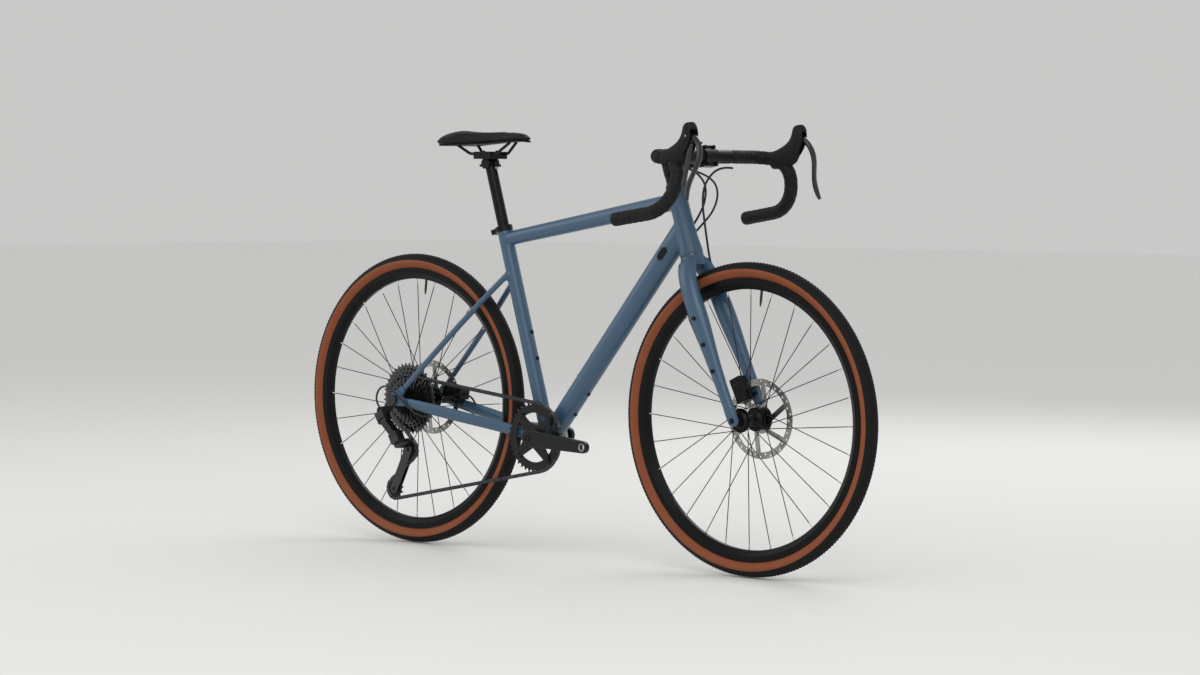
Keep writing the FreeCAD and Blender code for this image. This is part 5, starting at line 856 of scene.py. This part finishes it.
@dataclass
class Hose:
    """A hose drawn as a smooth NURBS tube.

    Args:
        name: Name of the piece.
        node: CAD node it stands for.
        start: Point that its route is measured from.
        shares: Control points of the route, as shares of the hose reach.
        radius: Outer radius.
        bodies: Body it rides on, or two bodies, for a hose that is turned into a mesh in place and rides on
            neither.
        steps: Points on its line for each control point.
    """

    name: str
    node: str
    start: Point
    shares: tuple[Point, ...]
    radius: float
    bodies: tuple[str, ...]
    steps: int = 24

    def points(self) -> list[Vector]:
        """Gives the control points.

        Returns:
            Points in metres.
        """
        return [Vector(self.start) + Vector(share) * HOSE_REACH for share in self.shares]

    def line(self) -> list[Vector]:
        """Gives the smooth line along the control points.

        Returns:
            Closely spaced points in metres.
        """
        route = self.points()
        knots = [route[0]]
        knots += [(a + b) / 2 for a, b in zip(route[1:-2], route[2:-1])]
        knots.append(route[-1])
        made = [route[0]]
        for first, middle, last in zip(knots[:-1], route[1:-1], knots[1:]):
            for count in range(1, self.steps + 1):
                t = count / self.steps
                made.append(first * (1 - t) ** 2 + middle * 2 * t * (1 - t) + last * t ** 2)
        return made

    def build(self) -> None:
        route = self.points()
        data = bpy.data.curves.new(self.name, "CURVE")
        data.dimensions = "3D"
        data.bevel_depth = 1.0
        data.bevel_resolution = 5
        data.use_fill_caps = True
        spline = data.splines.new("NURBS")
        spline.points.add(len(route) - 1)
        for point, place in zip(spline.points, route):
            point.co = (*place, 1.0)
            point.radius = self.radius
        spline.order_u = 3
        spline.use_endpoint_u = True
        spline.resolution_u = 10
        hose = bpy.data.objects.new(self.name, data)
        bpy.context.scene.collection.objects.link(hose)
        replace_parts(hose, self.node)
        if len(self.bodies) == 1:
            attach(hose, self.bodies[0])
        else:
            Bench.pick(hose)
            bpy.ops.object.convert(target="MESH")
            hose = bpy.context.active_object
            bpy.ops.object.shade_smooth()
            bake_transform(hose)
        line = self.line()
        dress(hose, JACKET)


@dataclass
class Cables:
    """All hoses and the shift housing.

    Args:
        below_stem: Point that the runs at the bar are measured from.
        hose_radius: Outer radius of the brake hoses.
        housing_radius: Outer radius of the shift housing.
    """

    below_stem: Point = (0.393254, 0.0, 0.916876)
    hose_radius: float = 2.5 * MM
    housing_radius: float = 2.4 * MM

    def build(self) -> None:
        """Draws every run."""
        bending = ("steering", "frame")
        brake_tail = (LAYOUT.rear_axle[0], 0.055, LAYOUT.rear_axle[2])
        runs = (
            Hose("shift_housing_front", "shift_housing", self.below_stem,
                 ((-0.06, -0.86, -0.04), (-0.08, -0.4, -0.1), (0.22, -0.05, -0.3), (0.27, 0.1, -0.62),
                  (0.0, 0.24, -1.04), (-0.46, 0.31, -1.4), (-0.81, 0.285, -1.73), (-1.0, 0.2, -1.92)),
                 self.housing_radius, bending),
            Hose("rear_brake_hose_front", "rear_brake_hose", self.below_stem,
                 ((-0.12, -0.86, 0.0), (-0.15, -0.3, -0.09), (-0.06, 0.05, -0.4), (-0.26, 0.26, -0.84),
                  (-0.55, 0.31, -1.24), (-0.89, 0.29, -1.64), (-1.075, 0.2, -1.865)),
                 self.hose_radius, bending),
            Hose("front_brake_hose_run", "front_brake_hose", self.below_stem,
                 ((0.02, 0.88, -0.06), (0.03, 0.42, -0.02), (-0.2, 0.2, -0.34), (-0.26, 0.14, -0.78),
                  (-0.18, 0.18, -1.45), (-0.15, 0.3, -2.14), (-0.09, 0.34, -2.4)),
                 self.hose_radius, ("steering",)),
            Hose("rear_brake_hose_tail", "rear_brake_hose", brake_tail,
                 ((1.5, 0.04, -0.26), (1.38, 0.04, -0.03), (1.24, 0.02, 0.09), (1.04, 0.0, 0.13)),
                 self.hose_radius, ("frame",)),
            Hose("shift_housing_tail", "shift_housing", LAYOUT.rear_axle,
                 ((1.25, -0.58, -0.24), (1.0, -0.64, -0.4), (0.68, -0.74, -0.32), (0.4, -0.82, -0.08),
                  (0.12, -0.87, 0.18), (-0.14, -0.89, 0.34), (-0.38, -0.9, 0.27), (-0.49, -0.91, 0.04),
                  (-0.42, -0.91, -0.16), (-0.28, -0.91, -0.26)),
                 self.housing_radius, ("frame",)),
        )
        for run in runs:
            run.build()


@dataclass
class BarTape:
    """Tape wound round the bar as an overlapping helix, with a band at its start and a plug in each end.

    Args:
        start: Distance from the bar's middle to the start of the tape.
        half_width: Distance from the bar's middle to its first bend.
        ramp: Corner at the end of the ramp, from the first bend.
        hook: Lower corner of the drop, from the first bend.
        tail: End of the bar, from the first bend.
        fillets: Radii of the three bends.
        fillet_steps: Steps in each bend.
        inner_radius: Radius at the lower edge of a turn.
        outer_radius: Radius at the upper edge of a turn.
        pitch: Distance from turn to turn.
        turn_steps: Steps in each turn.
        section: Outline of a turn, as shares of the pitch and of its rise.
        plug: Outline of an end plug, in millimetres from the axis and along it.
        band: Outline of the band at the tape's start, in the same way.
    """

    start: float = 0.082
    half_width: float = 0.190
    ramp: Point = (0.085, 0.0, -0.009)
    hook: Point = (0.076, 0.026, -0.118)
    tail: Point = (-0.070, 0.039, -0.140)
    fillets: tuple[float, ...] = (0.030, 0.046, 0.080)
    fillet_steps: int = 16
    inner_radius: float = 14.3 * MM
    outer_radius: float = 15.6 * MM
    pitch: float = 16.0 * MM
    turn_steps: int = 28
    section: Outline = ((0.0, 0.0), (0.3, 0.62), (0.8, 0.92), (1.02, 1.0), (1.1, 0.86), (1.12, 0.4))
    plug: Outline = ((14.04, -14.0), (15.6, -12.0), (15.6, 1.0), (14.508, 5.0), (10.92, 6.8), (0.0, 7.2))
    band: Outline = ((11.9, -12.0), (12.6, -11.5), (12.9, -2.0), (14.9, 4.0), (15.2, 14.0), (14.3, 14.5))

    def route(self, side: int) -> list[Vector]:
        """Gives the bar's line with rounded corners.

        Args:
            side: One for the left half, minus one for the right.

        Returns:
            Closely spaced points from the tape's start to the bar's end.
        """
        shoulder = Vector((0.0, self.half_width, 0.0))
        corners = [Vector((0.0, self.start, 0.0)), shoulder, shoulder + Vector(self.ramp),
                   shoulder + Vector(self.hook), shoulder + Vector(self.tail)]
        origin = Vector(LAYOUT.bar_centre)
        corners = [origin + Vector((corner.x, corner.y * side, corner.z)) for corner in corners]
        line = [corners[0]]
        for before, corner, after, radius in zip(corners, corners[1:], corners[2:], self.fillets):
            back = (before - corner).normalized()
            ahead = (after - corner).normalized()
            half = back.angle(ahead) / 2
            setback = radius / math.tan(half)
            hub = corner + (back + ahead).normalized() * (radius / math.sin(half))
            first = corner + back * setback - hub
            last = corner + ahead * setback - hub
            axis = first.cross(last).normalized()
            sweep = first.angle(last)
            for count in range(self.fillet_steps + 1):
                line.append(hub + Quaternion(axis, sweep * count / self.fillet_steps) @ first)
        line.append(corners[-1])
        return line

    def wind(self, side: int) -> bpy.types.Object:
        """Winds the tape on one half of the bar.

        Args:
            side: One for the left half, minus one for the right.

        Returns:
            The wound tape.
        """
        line = self.route(side)
        length = sum((b - a).length for a, b in zip(line, line[1:]))
        turns = int(length / self.pitch) - 1
        data = bpy.data.curves.new("bar_line", "CURVE")
        data.dimensions = "3D"
        spline = data.splines.new("POLY")
        spline.points.add(len(line) - 1)
        for point, place in zip(spline.points, line):
            point.co = (*place, 1.0)
        guide = bpy.data.objects.new("bar_line", data)
        bpy.context.scene.collection.objects.link(guide)
        rise = self.outer_radius - self.inner_radius
        outline = tuple((along * self.pitch, self.inner_radius + up * rise) for along, up in self.section)
        tape = Bench.draw("tape_left" if side > 0 else "tape_right", outline)
        Bench.close()
        turn = tape.modifiers.new("turn", "SCREW")
        turn.axis = "X"
        turn.steps = self.turn_steps
        turn.render_steps = self.turn_steps
        turn.screw_offset = self.pitch * side
        turn.iterations = turns
        turn.use_smooth_shade = True
        Bench.apply_all(tape)
        if side < 0:
            Bench.open_all()
            bpy.ops.transform.translate(value=(self.pitch * turns, 0.0, 0.0))
            Bench.close()
        follow = tape.modifiers.new("follow", "CURVE")
        follow.object = guide
        follow.deform_axis = "POS_X"
        Bench.apply_all(tape)
        bpy.data.objects.remove(guide)
        Bench.outward(tape, angle=55.0)
        return tape

    def build(self) -> None:
        """Winds both halves and closes their ends."""
        pieces = []
        for side in (-1, 1):
            line = self.route(side)
            pieces.append(self.wind(side))
            plug = Bench.lathe("plug", metres(self.plug), line[-1], (line[-1] - line[-2]).normalized())
            band = Bench.lathe("band", metres(self.band), line[0], (line[1] - line[0]).normalized())
            pieces += [plug, band]
        Bench.pick(*pieces)
        bpy.ops.object.join()
        self.tape = Bench.named("wound_tape")
        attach(self.tape, "steering")
        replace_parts(self.tape, "bar_tape")

    def dress(self) -> None:
        """Gives the tape its finish."""
        dress(self.tape, TAPE)
        dress(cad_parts["bar_tape"], TAPE)


@dataclass(frozen=True)
class Bore:
    """A round hole or plug along a line, in metres.

    Args:
        start: Middle of one end.
        end: Middle of the other end.
        radius: Radius of the hole.
    """

    start: Vector
    end: Vector
    radius: float


@dataclass(frozen=True)
class TubeLine:
    """The axis of a tube.

    Args:
        foot: Point that distances are measured from.
        axis: Direction of the tube.
    """

    foot: Vector
    axis: Vector

    def at(self, distance: float) -> Vector:
        """Gives the point at a distance along the axis, in millimetres."""
        return self.foot + self.axis * distance * MM

    def bores(self, *sizes: Point) -> tuple[Bore, ...]:
        """Gives round holes or plugs along the axis.

        Args:
            sizes: For each one its start, its end and its radius, in millimetres.

        Returns:
            The holes or plugs.
        """
        return tuple(Bore(self.at(start), self.at(end), radius * MM) for start, end, radius in sizes)


@dataclass
class Skin:
    """Painted tubes drawn as one welded and smoothed shell.

    Args:
        name: Name of the shell.
        nodes: CAD nodes that it is drawn from.
        hidden: CAD nodes that it stands for.
        body: Body it rides on.
        plugs: Rods that close the tubes before the shell is drawn.
        bores: Holes that are cut again afterwards.
        swell: How far the shell stands out from its source.
        voxel: Size of the mesh's squares.
        rounds: How often its edges are softened.
        trim: Point and direction of a plane, beyond which the source is cut off.
    """

    name: str
    nodes: tuple[str, ...]
    hidden: tuple[str, ...]
    body: str
    plugs: tuple[Bore, ...]
    bores: tuple[Bore, ...]
    swell: float = 0.15 * MM
    voxel: float = 2.6 * MM
    rounds: int = 9
    trim: tuple[Vector, Vector] | None = None

    def build(self) -> None:
        """Draws and dresses the shell."""
        shell = Bench.copied(self.name, self.nodes)
        if self.trim:
            point, direction = self.trim
            Bench.open_all()
            bpy.ops.mesh.bisect(plane_co=point, plane_no=direction, use_fill=True, clear_outer=True)
            Bench.close()
        rods = [Bench.rod("plug", plug.start, plug.end, plug.radius) for plug in self.plugs]
        if rods:
            Bench.pick(*rods, shell)
            bpy.ops.object.join()
        Bench.even_out(shell, self.voxel, self.rounds)
        Bench.outward(shell, angle=180.0)
        Bench.open_all()
        bpy.ops.transform.shrink_fatten(value=self.swell)
        Bench.close()
        for bore in self.bores:
            tool = Bench.rod("bore", bore.start, bore.end, bore.radius)
            drill = shell.modifiers.new("drill", "BOOLEAN")
            drill.operation = "DIFFERENCE"
            drill.object = tool
            Bench.apply_all(shell)
            bpy.data.objects.remove(tool)
        Bench.outward(shell, angle=50.0)
        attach(shell, self.body)
        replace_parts(shell, *self.hidden)
        dress(shell, PAINT)


@dataclass
class Tubes:
    """Shells of the frame and the fork.

    Args:
        painted: CAD nodes that the frame's shell is drawn from and stands for.
        head: Axis of the head tube, up from its foot.
        seat: Axis of the seat tube, up from its top.
        shell: Axis of the bottom bracket shell, from its middle.
        fork_swell: How far the fork's shell stands out.
        crown_gap: Distance from the head tube's foot down to the top of the fork's shell, in millimetres.
    """

    painted: tuple[str, ...] = ("head_tube", "top_tube", "down_tube", "seat_tube", "bottom_bracket_shell",
                                "rear_stays")
    head: TubeLine = TubeLine(Vector((0.351385, 0.0, 0.711216)), Vector((-0.309017, 0.0, 0.951057)))
    seat: TubeLine = TubeLine(Vector((-0.228426, 0.0, 0.760286)), Vector((-0.284852, 0.0, 0.958572)))
    shell: TubeLine = TubeLine(Vector(LAYOUT.bracket), Vector((0.0, 1.0, 0.0)))
    fork_swell: float = 0.5 * MM
    crown_gap: float = 0.3

    def build(self) -> None:
        """Draws both shells."""
        # The plugs fill the hollow tubes, so that one outer skin is drawn.
        plugs = (*self.head.bores((2.5, 10.5, 25.0), (2.5, 89.5, 21.0), (88.5, 165.5, 19.8)),
                 *self.seat.bores((-400.0, -1.0, 15.2)),
                 *self.shell.bores((-33.0, 33.0, 21.0)))
        # The bores open the seats of the bearings and the post again.
        bores = (*self.head.bores((-4.5, 89.5, 20.9), (85.5, 172.5, 17.0)),
                 *self.seat.bores((-330.0, 8.0, 13.9)),
                 *self.shell.bores((-46.2, 46.2, 17.8)))
        Skin("painted_frame", self.painted, self.painted, "frame", plugs, bores).build()
        Skin("painted_fork", ("fork_legs", "fork_steerer"), ("fork_legs",), "steering", (), (),
             self.fork_swell, trim=(self.head.at(-self.crown_gap), self.head.axis)).build()


@dataclass(frozen=True)
class ChainRun:
    """A straight stretch of chain, left in place as a plain mesh.

    Args:
        first: Body that its start follows. Not used.
        second: Body that its end follows in part or in full. Not used.
        start: Point where it starts.
        end: Point where it ends.
        share: How far along the whole bend its end lies. Not used.
    """

    first: str
    second: str
    start: Point
    end: Point
    share: float = 1.0

    def holds(self, place: Vector, slack: float) -> bool:
        """Tells whether a link lies on this stretch.

        Args:
            place: Middle of the link.
            slack: How far it may lie off the line.

        Returns:
            True for a link of this stretch.
        """
        near, share = geometry.intersect_point_line(place, Vector(self.start), Vector(self.end))
        return 0.0 < share < 1.0 and (near - place).length < slack

    def bend(self, piece: bpy.types.Object) -> None:
        """Puts the piece's place into its mesh, where it stays.

        Args:
            piece: Links of this stretch, joined.
        """
        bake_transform(piece)


@dataclass
class Chain:
    """The chain, parted so that it stays on both pulleys while the gears shift.

    Args:
        slack: How far a link of a straight stretch may lie off its line.
        guide_top: Height below which the chain lies on the pulleys.
        pulley_front: Place along the bike behind which it lies on them.
        on_rings: Name of the piece on the chainring and the cassette.
        on_pulleys: Name of the piece on the pulleys.
        middle: Point where the two halves of the lower stretch meet.
    """

    slack: float = 5 * MM
    guide_top: float = 0.249
    pulley_front: float = -0.48
    on_rings: str = "chain_on_rings"
    on_pulleys: str = "chain_on_pulleys"
    middle: Point = (-0.383, -0.0401, 0.1398)
    runs = {
        "chain_guide_run": ChainRun("frame", "outer_link", (-0.567, -0.0367, 0.3194),
                                    (-0.4945, -0.0367, 0.2487), 0.467),
        "chain_front_run": ChainRun("frame", "outer_link", (-0.0725, -0.047, 0.2012), middle, 0.274),
        "chain_rear_run": ChainRun("cage_knuckle", "derailleur_cage", middle, (-0.5453, -0.0367, 0.1078)),
    }

    def part_of(self, link: bpy.types.Object) -> str:
        """Finds the piece that a link belongs to.

        Args:
            link: One link of the chain.

        Returns:
            Name of the piece.
        """
        place = sum((Vector(corner) for corner in link.bound_box), Vector()) / len(link.bound_box)
        for name, run in self.runs.items():
            if run.holds(place, self.slack):
                return name
        if place.z < self.guide_top and place.x < self.pulley_front:
            return self.on_pulleys
        return self.on_rings

    def build(self) -> None:
        """Parts the chain link by link, sets the pieces on the pulleys and on the rings on their bodies,
        and bakes the straight stretches in place.
        """
        Bench.pick(Bench.copied("chain_links", ("chain",)))
        bpy.ops.mesh.separate(type="LOOSE")
        parts: dict[str, list[bpy.types.Object]] = {}
        for link in bpy.context.selected_objects:
            parts.setdefault(self.part_of(link), []).append(link)
        for name, links in parts.items():
            Bench.pick(*links)
            bpy.ops.object.join()
            piece = Bench.named(name)
            Bench.outward(piece)
            dress(piece, CHAIN_STEEL)
            if name in self.runs:
                self.runs[name].bend(piece)
            elif name == self.on_pulleys:
                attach(piece, "derailleur_cage")
            else:
                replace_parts(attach(piece, "frame"), "chain")


@dataclass
class Casting:
    """A moulded, cast or forged piece, drawn over its CAD form with rounded edges.

    Args:
        node: CAD node that it is drawn from and stands for.
        body: Body it rides on.
        slot: Material slot of the record. Not used.
        finish: Its finish.
        voxel: Size of the mesh's squares.
        rounds: How often its edges are softened.
        crease: Steepest edge that still looks smooth, in degrees.
    """

    node: str
    body: str
    slot: Slot
    finish: Finish
    voxel: float
    rounds: int = 3
    crease: float = 50.0

    def build(self) -> None:
        """Draws and dresses the piece."""
        piece = Bench.copied(f"{self.node}_form", (self.node,))
        Bench.even_out(piece, self.voxel, self.rounds)
        Bench.outward(piece, self.crease)
        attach(piece, self.body)
        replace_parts(piece, self.node)
        dress(piece, self.finish)


@dataclass
class Castings:
    """Every piece with rounded edges.

    Args:
        fine: Size of the squares on metal pieces.
        medium: Size of the squares on the hoods.
        hood_rounds: How often the edges of the hoods are softened.
        hood_crease: Steepest edge of the hoods that still looks smooth, in degrees.
    """

    fine: float = 0.9 * MM
    medium: float = 1.3 * MM
    hood_rounds: int = 12
    hood_crease: float = 70.0

    def build(self) -> None:
        """Draws them all."""
        Casting("brake_hoods", "steering", Slot.GRIP, HOOD_RUBBER, self.medium, self.hood_rounds,
                self.hood_crease).build()
        for node, body in (("front_caliper", "steering"), ("rear_caliper", "frame"), ("stem", "steering"),
                           ("saddle_clamp", "seat")):
            Casting(node, body, Slot.ALLOY, ANODISED, self.fine).build()
        for node in ("crank_arm_right", "crank_arm_left"):
            Casting(node, "crankset", Slot.ALLOY, CRANK_PAINT, self.fine).build()


@dataclass(frozen=True)
class SideBolt:
    """A bolt head on the outer face of a CAD piece, with its axis across the bike.

    Args:
        name: Name of the bolt.
        node: CAD piece that it sits on.
        centre: Point on its axis.
        radius: Radius of the head.
        height: Height of the head.
        body: Body it rides on.
        finish: Its finish.
        reach: Distance from the bike's middle at which the search for the face starts.
        sunk: Share of its height that lies in the face.
    """

    name: str
    node: str
    centre: Point
    radius: float
    height: float
    body: str
    finish: Finish = BLACK_STEEL
    reach: float = 0.3
    sunk: float = 0.3

    def model(self, side: int) -> bpy.types.Object:
        """Models the head where its axis meets the CAD piece.

        Args:
            side: One for the left face, minus one for the right.

        Returns:
            The bolt head.
        """
        outward = Vector((0.0, float(side), 0.0))
        start = Vector((self.centre[0], side * self.reach, self.centre[2]))
        met, face, _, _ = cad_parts[self.node].ray_cast(start, -outward)
        if not met:
            raise ValueError(f"{self.name} misses {self.node}")
        foot = face - outward * self.height * self.sunk
        return Bench.socket_bolt(self.name, foot, outward, self.radius, self.height)


@dataclass
class Hardware:
    """Small bolts, rings and caps that the CAD pieces carry as plain forms.

    Args:
        stem_axis: Direction in which the stem points.
        stem_up: Direction square to it, in the bike's plane.
        stem_bolt_place: A faceplate bolt from the bar's middle: ahead, aside and up.
        stem_bolt_radius: Radius of its head.
        stem_bolt_height: Height of its head.
        pedal_holes: Middles of the threaded holes in the cranks.
        pedal_sleeve: Outline of the sleeve in them, in millimetres from the axis and along it.
        hanger_bolt: Face that the derailleur's bolt sits on.
        hanger_bolt_radius: Radius of its head.
        hanger_bolt_height: Height of its head.
        post_top: Middle of the seatpost's head.
        nut_ahead: Distance of its two nuts ahead and behind.
        nut_below: Distance of its two nuts below.
        nut_size: Radius and height of a nut.
        both_sides: Bolts that the bike has on both sides.
        right_side: Bolts on the right side only.
        left_side: Bolts on the left side only.
    """

    stem_axis: Point = (0.978148, 0.0, 0.207912)
    stem_up: Point = (-0.207912, 0.0, 0.978148)
    stem_bolt_place: Point = (10.0 * MM, 15.0 * MM, 19.85 * MM)
    stem_bolt_radius: float = 4.35 * MM
    stem_bolt_height: float = 4.2 * MM
    pedal_holes: tuple[Point, ...] = ((0.083521, -0.0665, 0.268254), (-0.255521, 0.0665, 0.293746))
    pedal_sleeve: Outline = ((7.15, -6.6), (9.4, -6.6), (9.4, 6.7), (8.9, 7.1), (7.6, 7.1), (7.15, 6.6),
                             (7.15, -6.6))
    hanger_bolt: Point = (-0.543, -0.104, 0.324)
    hanger_bolt_radius: float = 7.0 * MM
    hanger_bolt_height: float = 2.6 * MM
    post_top: Point = (-0.276281, 0.0, 0.921326)
    nut_ahead: float = 20.5 * MM
    nut_below: float = 8.0 * MM
    nut_size: float = 4.6 * MM
    both_sides: tuple[SideBolt, ...] = (
        SideBolt("lever_pin", "brake_hoods", (0.505254, 0.194, 0.979376), 2.7 * MM, 1.4 * MM, "steering",
                 BARE_STEEL),
        SideBolt("crank_cap", "crank_arm_right", LAYOUT.bracket, 9.6 * MM, 1.8 * MM, "crankset"),
    )
    right_side: tuple[SideBolt, ...] = tuple(
        SideBolt("pulley_bolt", "derailleur_cage", centre, 4.4 * MM, 2.0 * MM, "derailleur_cage")
        for centre in ((-0.507795, 0.0, 0.228116), (-0.556411, 0.0, 0.130558))
    )
    left_side: tuple[SideBolt, ...] = (
        SideBolt("front_piston_cap", "front_caliper", (0.46797, 0.0, 0.414199), 8.5 * MM, 1.2 * MM,
                 "steering"),
        SideBolt("rear_piston_cap", "rear_caliper", (-0.440303, 0.0, 0.368153), 8.5 * MM, 1.2 * MM,
                 "frame"),
    )

    def build(self) -> None:
        """Models every small piece."""
        self.add_stem_bolts()
        self.add_pedal_sleeves()
        self.add_hanger_bolt()
        self.add_clamp_nuts()
        self.add_side_bolts(-1, self.both_sides)
        self.add_side_bolts(1, self.both_sides)
        self.add_side_bolts(-1, self.right_side)
        self.add_side_bolts(1, self.left_side)

    def hang(self, piece: bpy.types.Object, body: str, finish: Finish) -> None:
        """Hangs a piece on its body and dresses it.

        Args:
            piece: The piece.
            body: Body it rides on.
            finish: Its finish.
        """
        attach(piece, body)
        dress(piece, finish)

    def add_side_bolts(self, side: int, bolts: tuple[SideBolt, ...]) -> None:
        """Adds some bolts on one side of the bike.

        Args:
            side: One for the left side, minus one for the right.
            bolts: The bolts.
        """
        for bolt in bolts:
            self.hang(bolt.model(side), bolt.body, bolt.finish)

    def add_stem_bolts(self) -> None:
        """Adds the four bolts of the stem's faceplate."""
        axis = Vector(self.stem_axis)
        ahead, aside, up = self.stem_bolt_place
        middle = Vector(LAYOUT.bar_centre) + axis * ahead
        for side in (-1, 1):
            for level in (-1, 1):
                foot = middle + Vector((0.0, side * aside, 0.0)) + Vector(self.stem_up) * level * up
                bolt = Bench.socket_bolt("stem_bolt", foot, axis, self.stem_bolt_radius,
                                         self.stem_bolt_height)
                self.hang(bolt, "steering", BLACK_STEEL)

    def add_pedal_sleeves(self) -> None:
        """Adds the bright threaded sleeves in the ends of the cranks."""
        for hole in self.pedal_holes:
            outward = Vector((0.0, math.copysign(1.0, hole[1]), 0.0))
            sleeve = Bench.lathe("pedal_sleeve", metres(self.pedal_sleeve), Vector(hole), outward)
            self.hang(sleeve, "crankset", BARE_STEEL)

    def add_hanger_bolt(self) -> None:
        """Adds the bolt that holds the derailleur to its hanger."""
        bolt = Bench.socket_bolt("hanger_bolt", Vector(self.hanger_bolt), Vector((0.0, -1.0, 0.0)),
                                 self.hanger_bolt_radius, self.hanger_bolt_height)
        self.hang(bolt, "frame", BLACK_STEEL)

    def add_clamp_nuts(self) -> None:
        """Adds the bright nuts under the ears of the seatpost's head."""
        down = Vector((0.0, 0.0, -1.0))
        for ahead in (-self.nut_ahead, self.nut_ahead):
            foot = Vector(self.post_top) + Vector((ahead, 0.0, 0.0)) + down * self.nut_below
            nut = Bench.socket_bolt("clamp_nut", foot, down, self.nut_size, self.nut_size)
            self.hang(nut, "seat", BARE_STEEL)


@dataclass
class Saddle:
    """Saddle with a padded cover over its shell.

    Args:
        voxel: Size of the cover's squares before they are made finer.
        rounds: How often its edges are softened.
        start_shrink: How far its top is drawn in before the pressure run.
        limit: How far the run may move a point.
        pressure: Pressure of the run.
        frames: Length of the run.
        held_slope: Upward share of the normal below which a point keeps its place.
    """

    voxel: float = 5.0 * MM
    rounds: int = 6
    start_shrink: float = 1.2 * MM
    limit: float = 5.0 * MM
    pressure: float = 4.0
    frames: int = 20
    held_slope: float = 0.15

    def swell(self, cover: bpy.types.Object) -> None:
        """Swells the top of the cover by a short pressure run, while its underside keeps its place.

        Args:
            cover: Cover with an even mesh.
        """
        scene = bpy.context.scene
        kept = [vertex.co.copy() for vertex in cover.data.vertices]
        under = [vertex.normal.z < self.held_slope for vertex in cover.data.vertices]
        for vertex, held in zip(cover.data.vertices, under):
            if not held:
                vertex.co -= vertex.normal * self.start_shrink
        cloth = cover.modifiers.new("swell", "CLOTH")
        cloth.settings.use_pressure = True
        cloth.settings.uniform_pressure_force = self.pressure
        cloth.settings.effector_weights.gravity = 0.0
        for number in range(1, self.frames + 1):
            scene.frame_set(number)
        Bench.apply_all(cover)
        scene.frame_set(1)
        for vertex, place, held in zip(cover.data.vertices, kept, under):
            moved = vertex.co - place
            if held:
                vertex.co = place
            elif moved.length > self.limit:
                vertex.co = place + moved.normalized() * self.limit

    def build(self) -> None:
        """Makes the padded cover from the CAD pad, softened by a short pressure run."""
        cover = Bench.copied("saddle_cover", ("saddle_pad",))
        Bench.even_out(cover, self.voxel, self.rounds)
        self.swell(cover)
        finer = cover.modifiers.new("finer", "SUBSURF")
        finer.levels = 1
        finer.render_levels = 1
        Bench.apply_all(cover)
        Bench.outward(cover, angle=60.0)
        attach(cover, "seat")
        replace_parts(cover, "saddle_pad")
        self.cover = cover

    def dress(self) -> None:
        """Gives the seat its finishes."""
        dress(self.cover, MICROFIBRE)
        for node in ("saddle_pad", "saddle_base"):
            dress(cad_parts[node], NYLON)
        for node in ("seatpost", "saddle_clamp"):
            dress(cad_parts[node], ANODISED)


class FrameSet:
    """Frame, fork and fittings."""

    finishes = {
        PAINT: ("head_tube", "top_tube", "down_tube", "seat_tube", "bottom_bracket_shell", "rear_stays",
                "dropouts", "fork_legs", "fork_steerer"),
        ANODISED: ("seat_clamp", "headset_spacers", "stem", "stem_faceplate", "handlebar", "front_caliper",
                   "rear_caliper"),
        BLACK_STEEL: ("steering_bolts", "frame_fittings", "front_axle", "rear_axle"),
        BARE_STEEL: ("frame_bearings",),
        HOOD_RUBBER: ("brake_hoods",),
        JACKET: ("front_brake_hose", "rear_brake_hose", "shift_housing"),
        COMPOUND: ("front_pad_inner", "front_pad_outer", "rear_pad_inner", "rear_pad_outer"),
        CRANK_PAINT: ("crank_arm_right", "crank_arm_left", "chainring"),
        CHAIN_STEEL: ("chain",),
        COG_STEEL: ("cassette",),
        LEVER_PAINT: ("derailleur_hanger", "derailleur_knuckle", "outer_link", "inner_link", "cage_knuckle",
                      "derailleur_cage", "brake_lever_left", "brake_lever_right", "shift_paddle"),
        NYLON: ("guide_pulley", "tension_pulley"),
    }

    def dress(self) -> None:
        """Gives every CAD piece its finish."""
        for finish, nodes in self.finishes.items():
            for node in nodes:
                dress(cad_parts[node], finish)


def main() -> None:
    """Builds the looks of the whole bike."""
    logging.basicConfig(level=logging.INFO)
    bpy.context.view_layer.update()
    Studio().build()
    FrameSet().dress()
    log.info("studio and frame set done")
    for wheel in (Wheel("front", LAYOUT.front_axle), Wheel("rear", LAYOUT.rear_axle)):
        wheel.build()
        wheel.dress()
        log.info("%s wheel done", wheel.side)
    for assembly in (Cables(), Tubes(), Hardware(), Castings(), Chain()):
        assembly.build()
        log.info("%s done", type(assembly).__name__)
    for assembly in (BarTape(), Saddle()):
        assembly.build()
        assembly.dress()
        log.info("%s done", type(assembly).__name__)


if __name__ == "__main__":
    main()
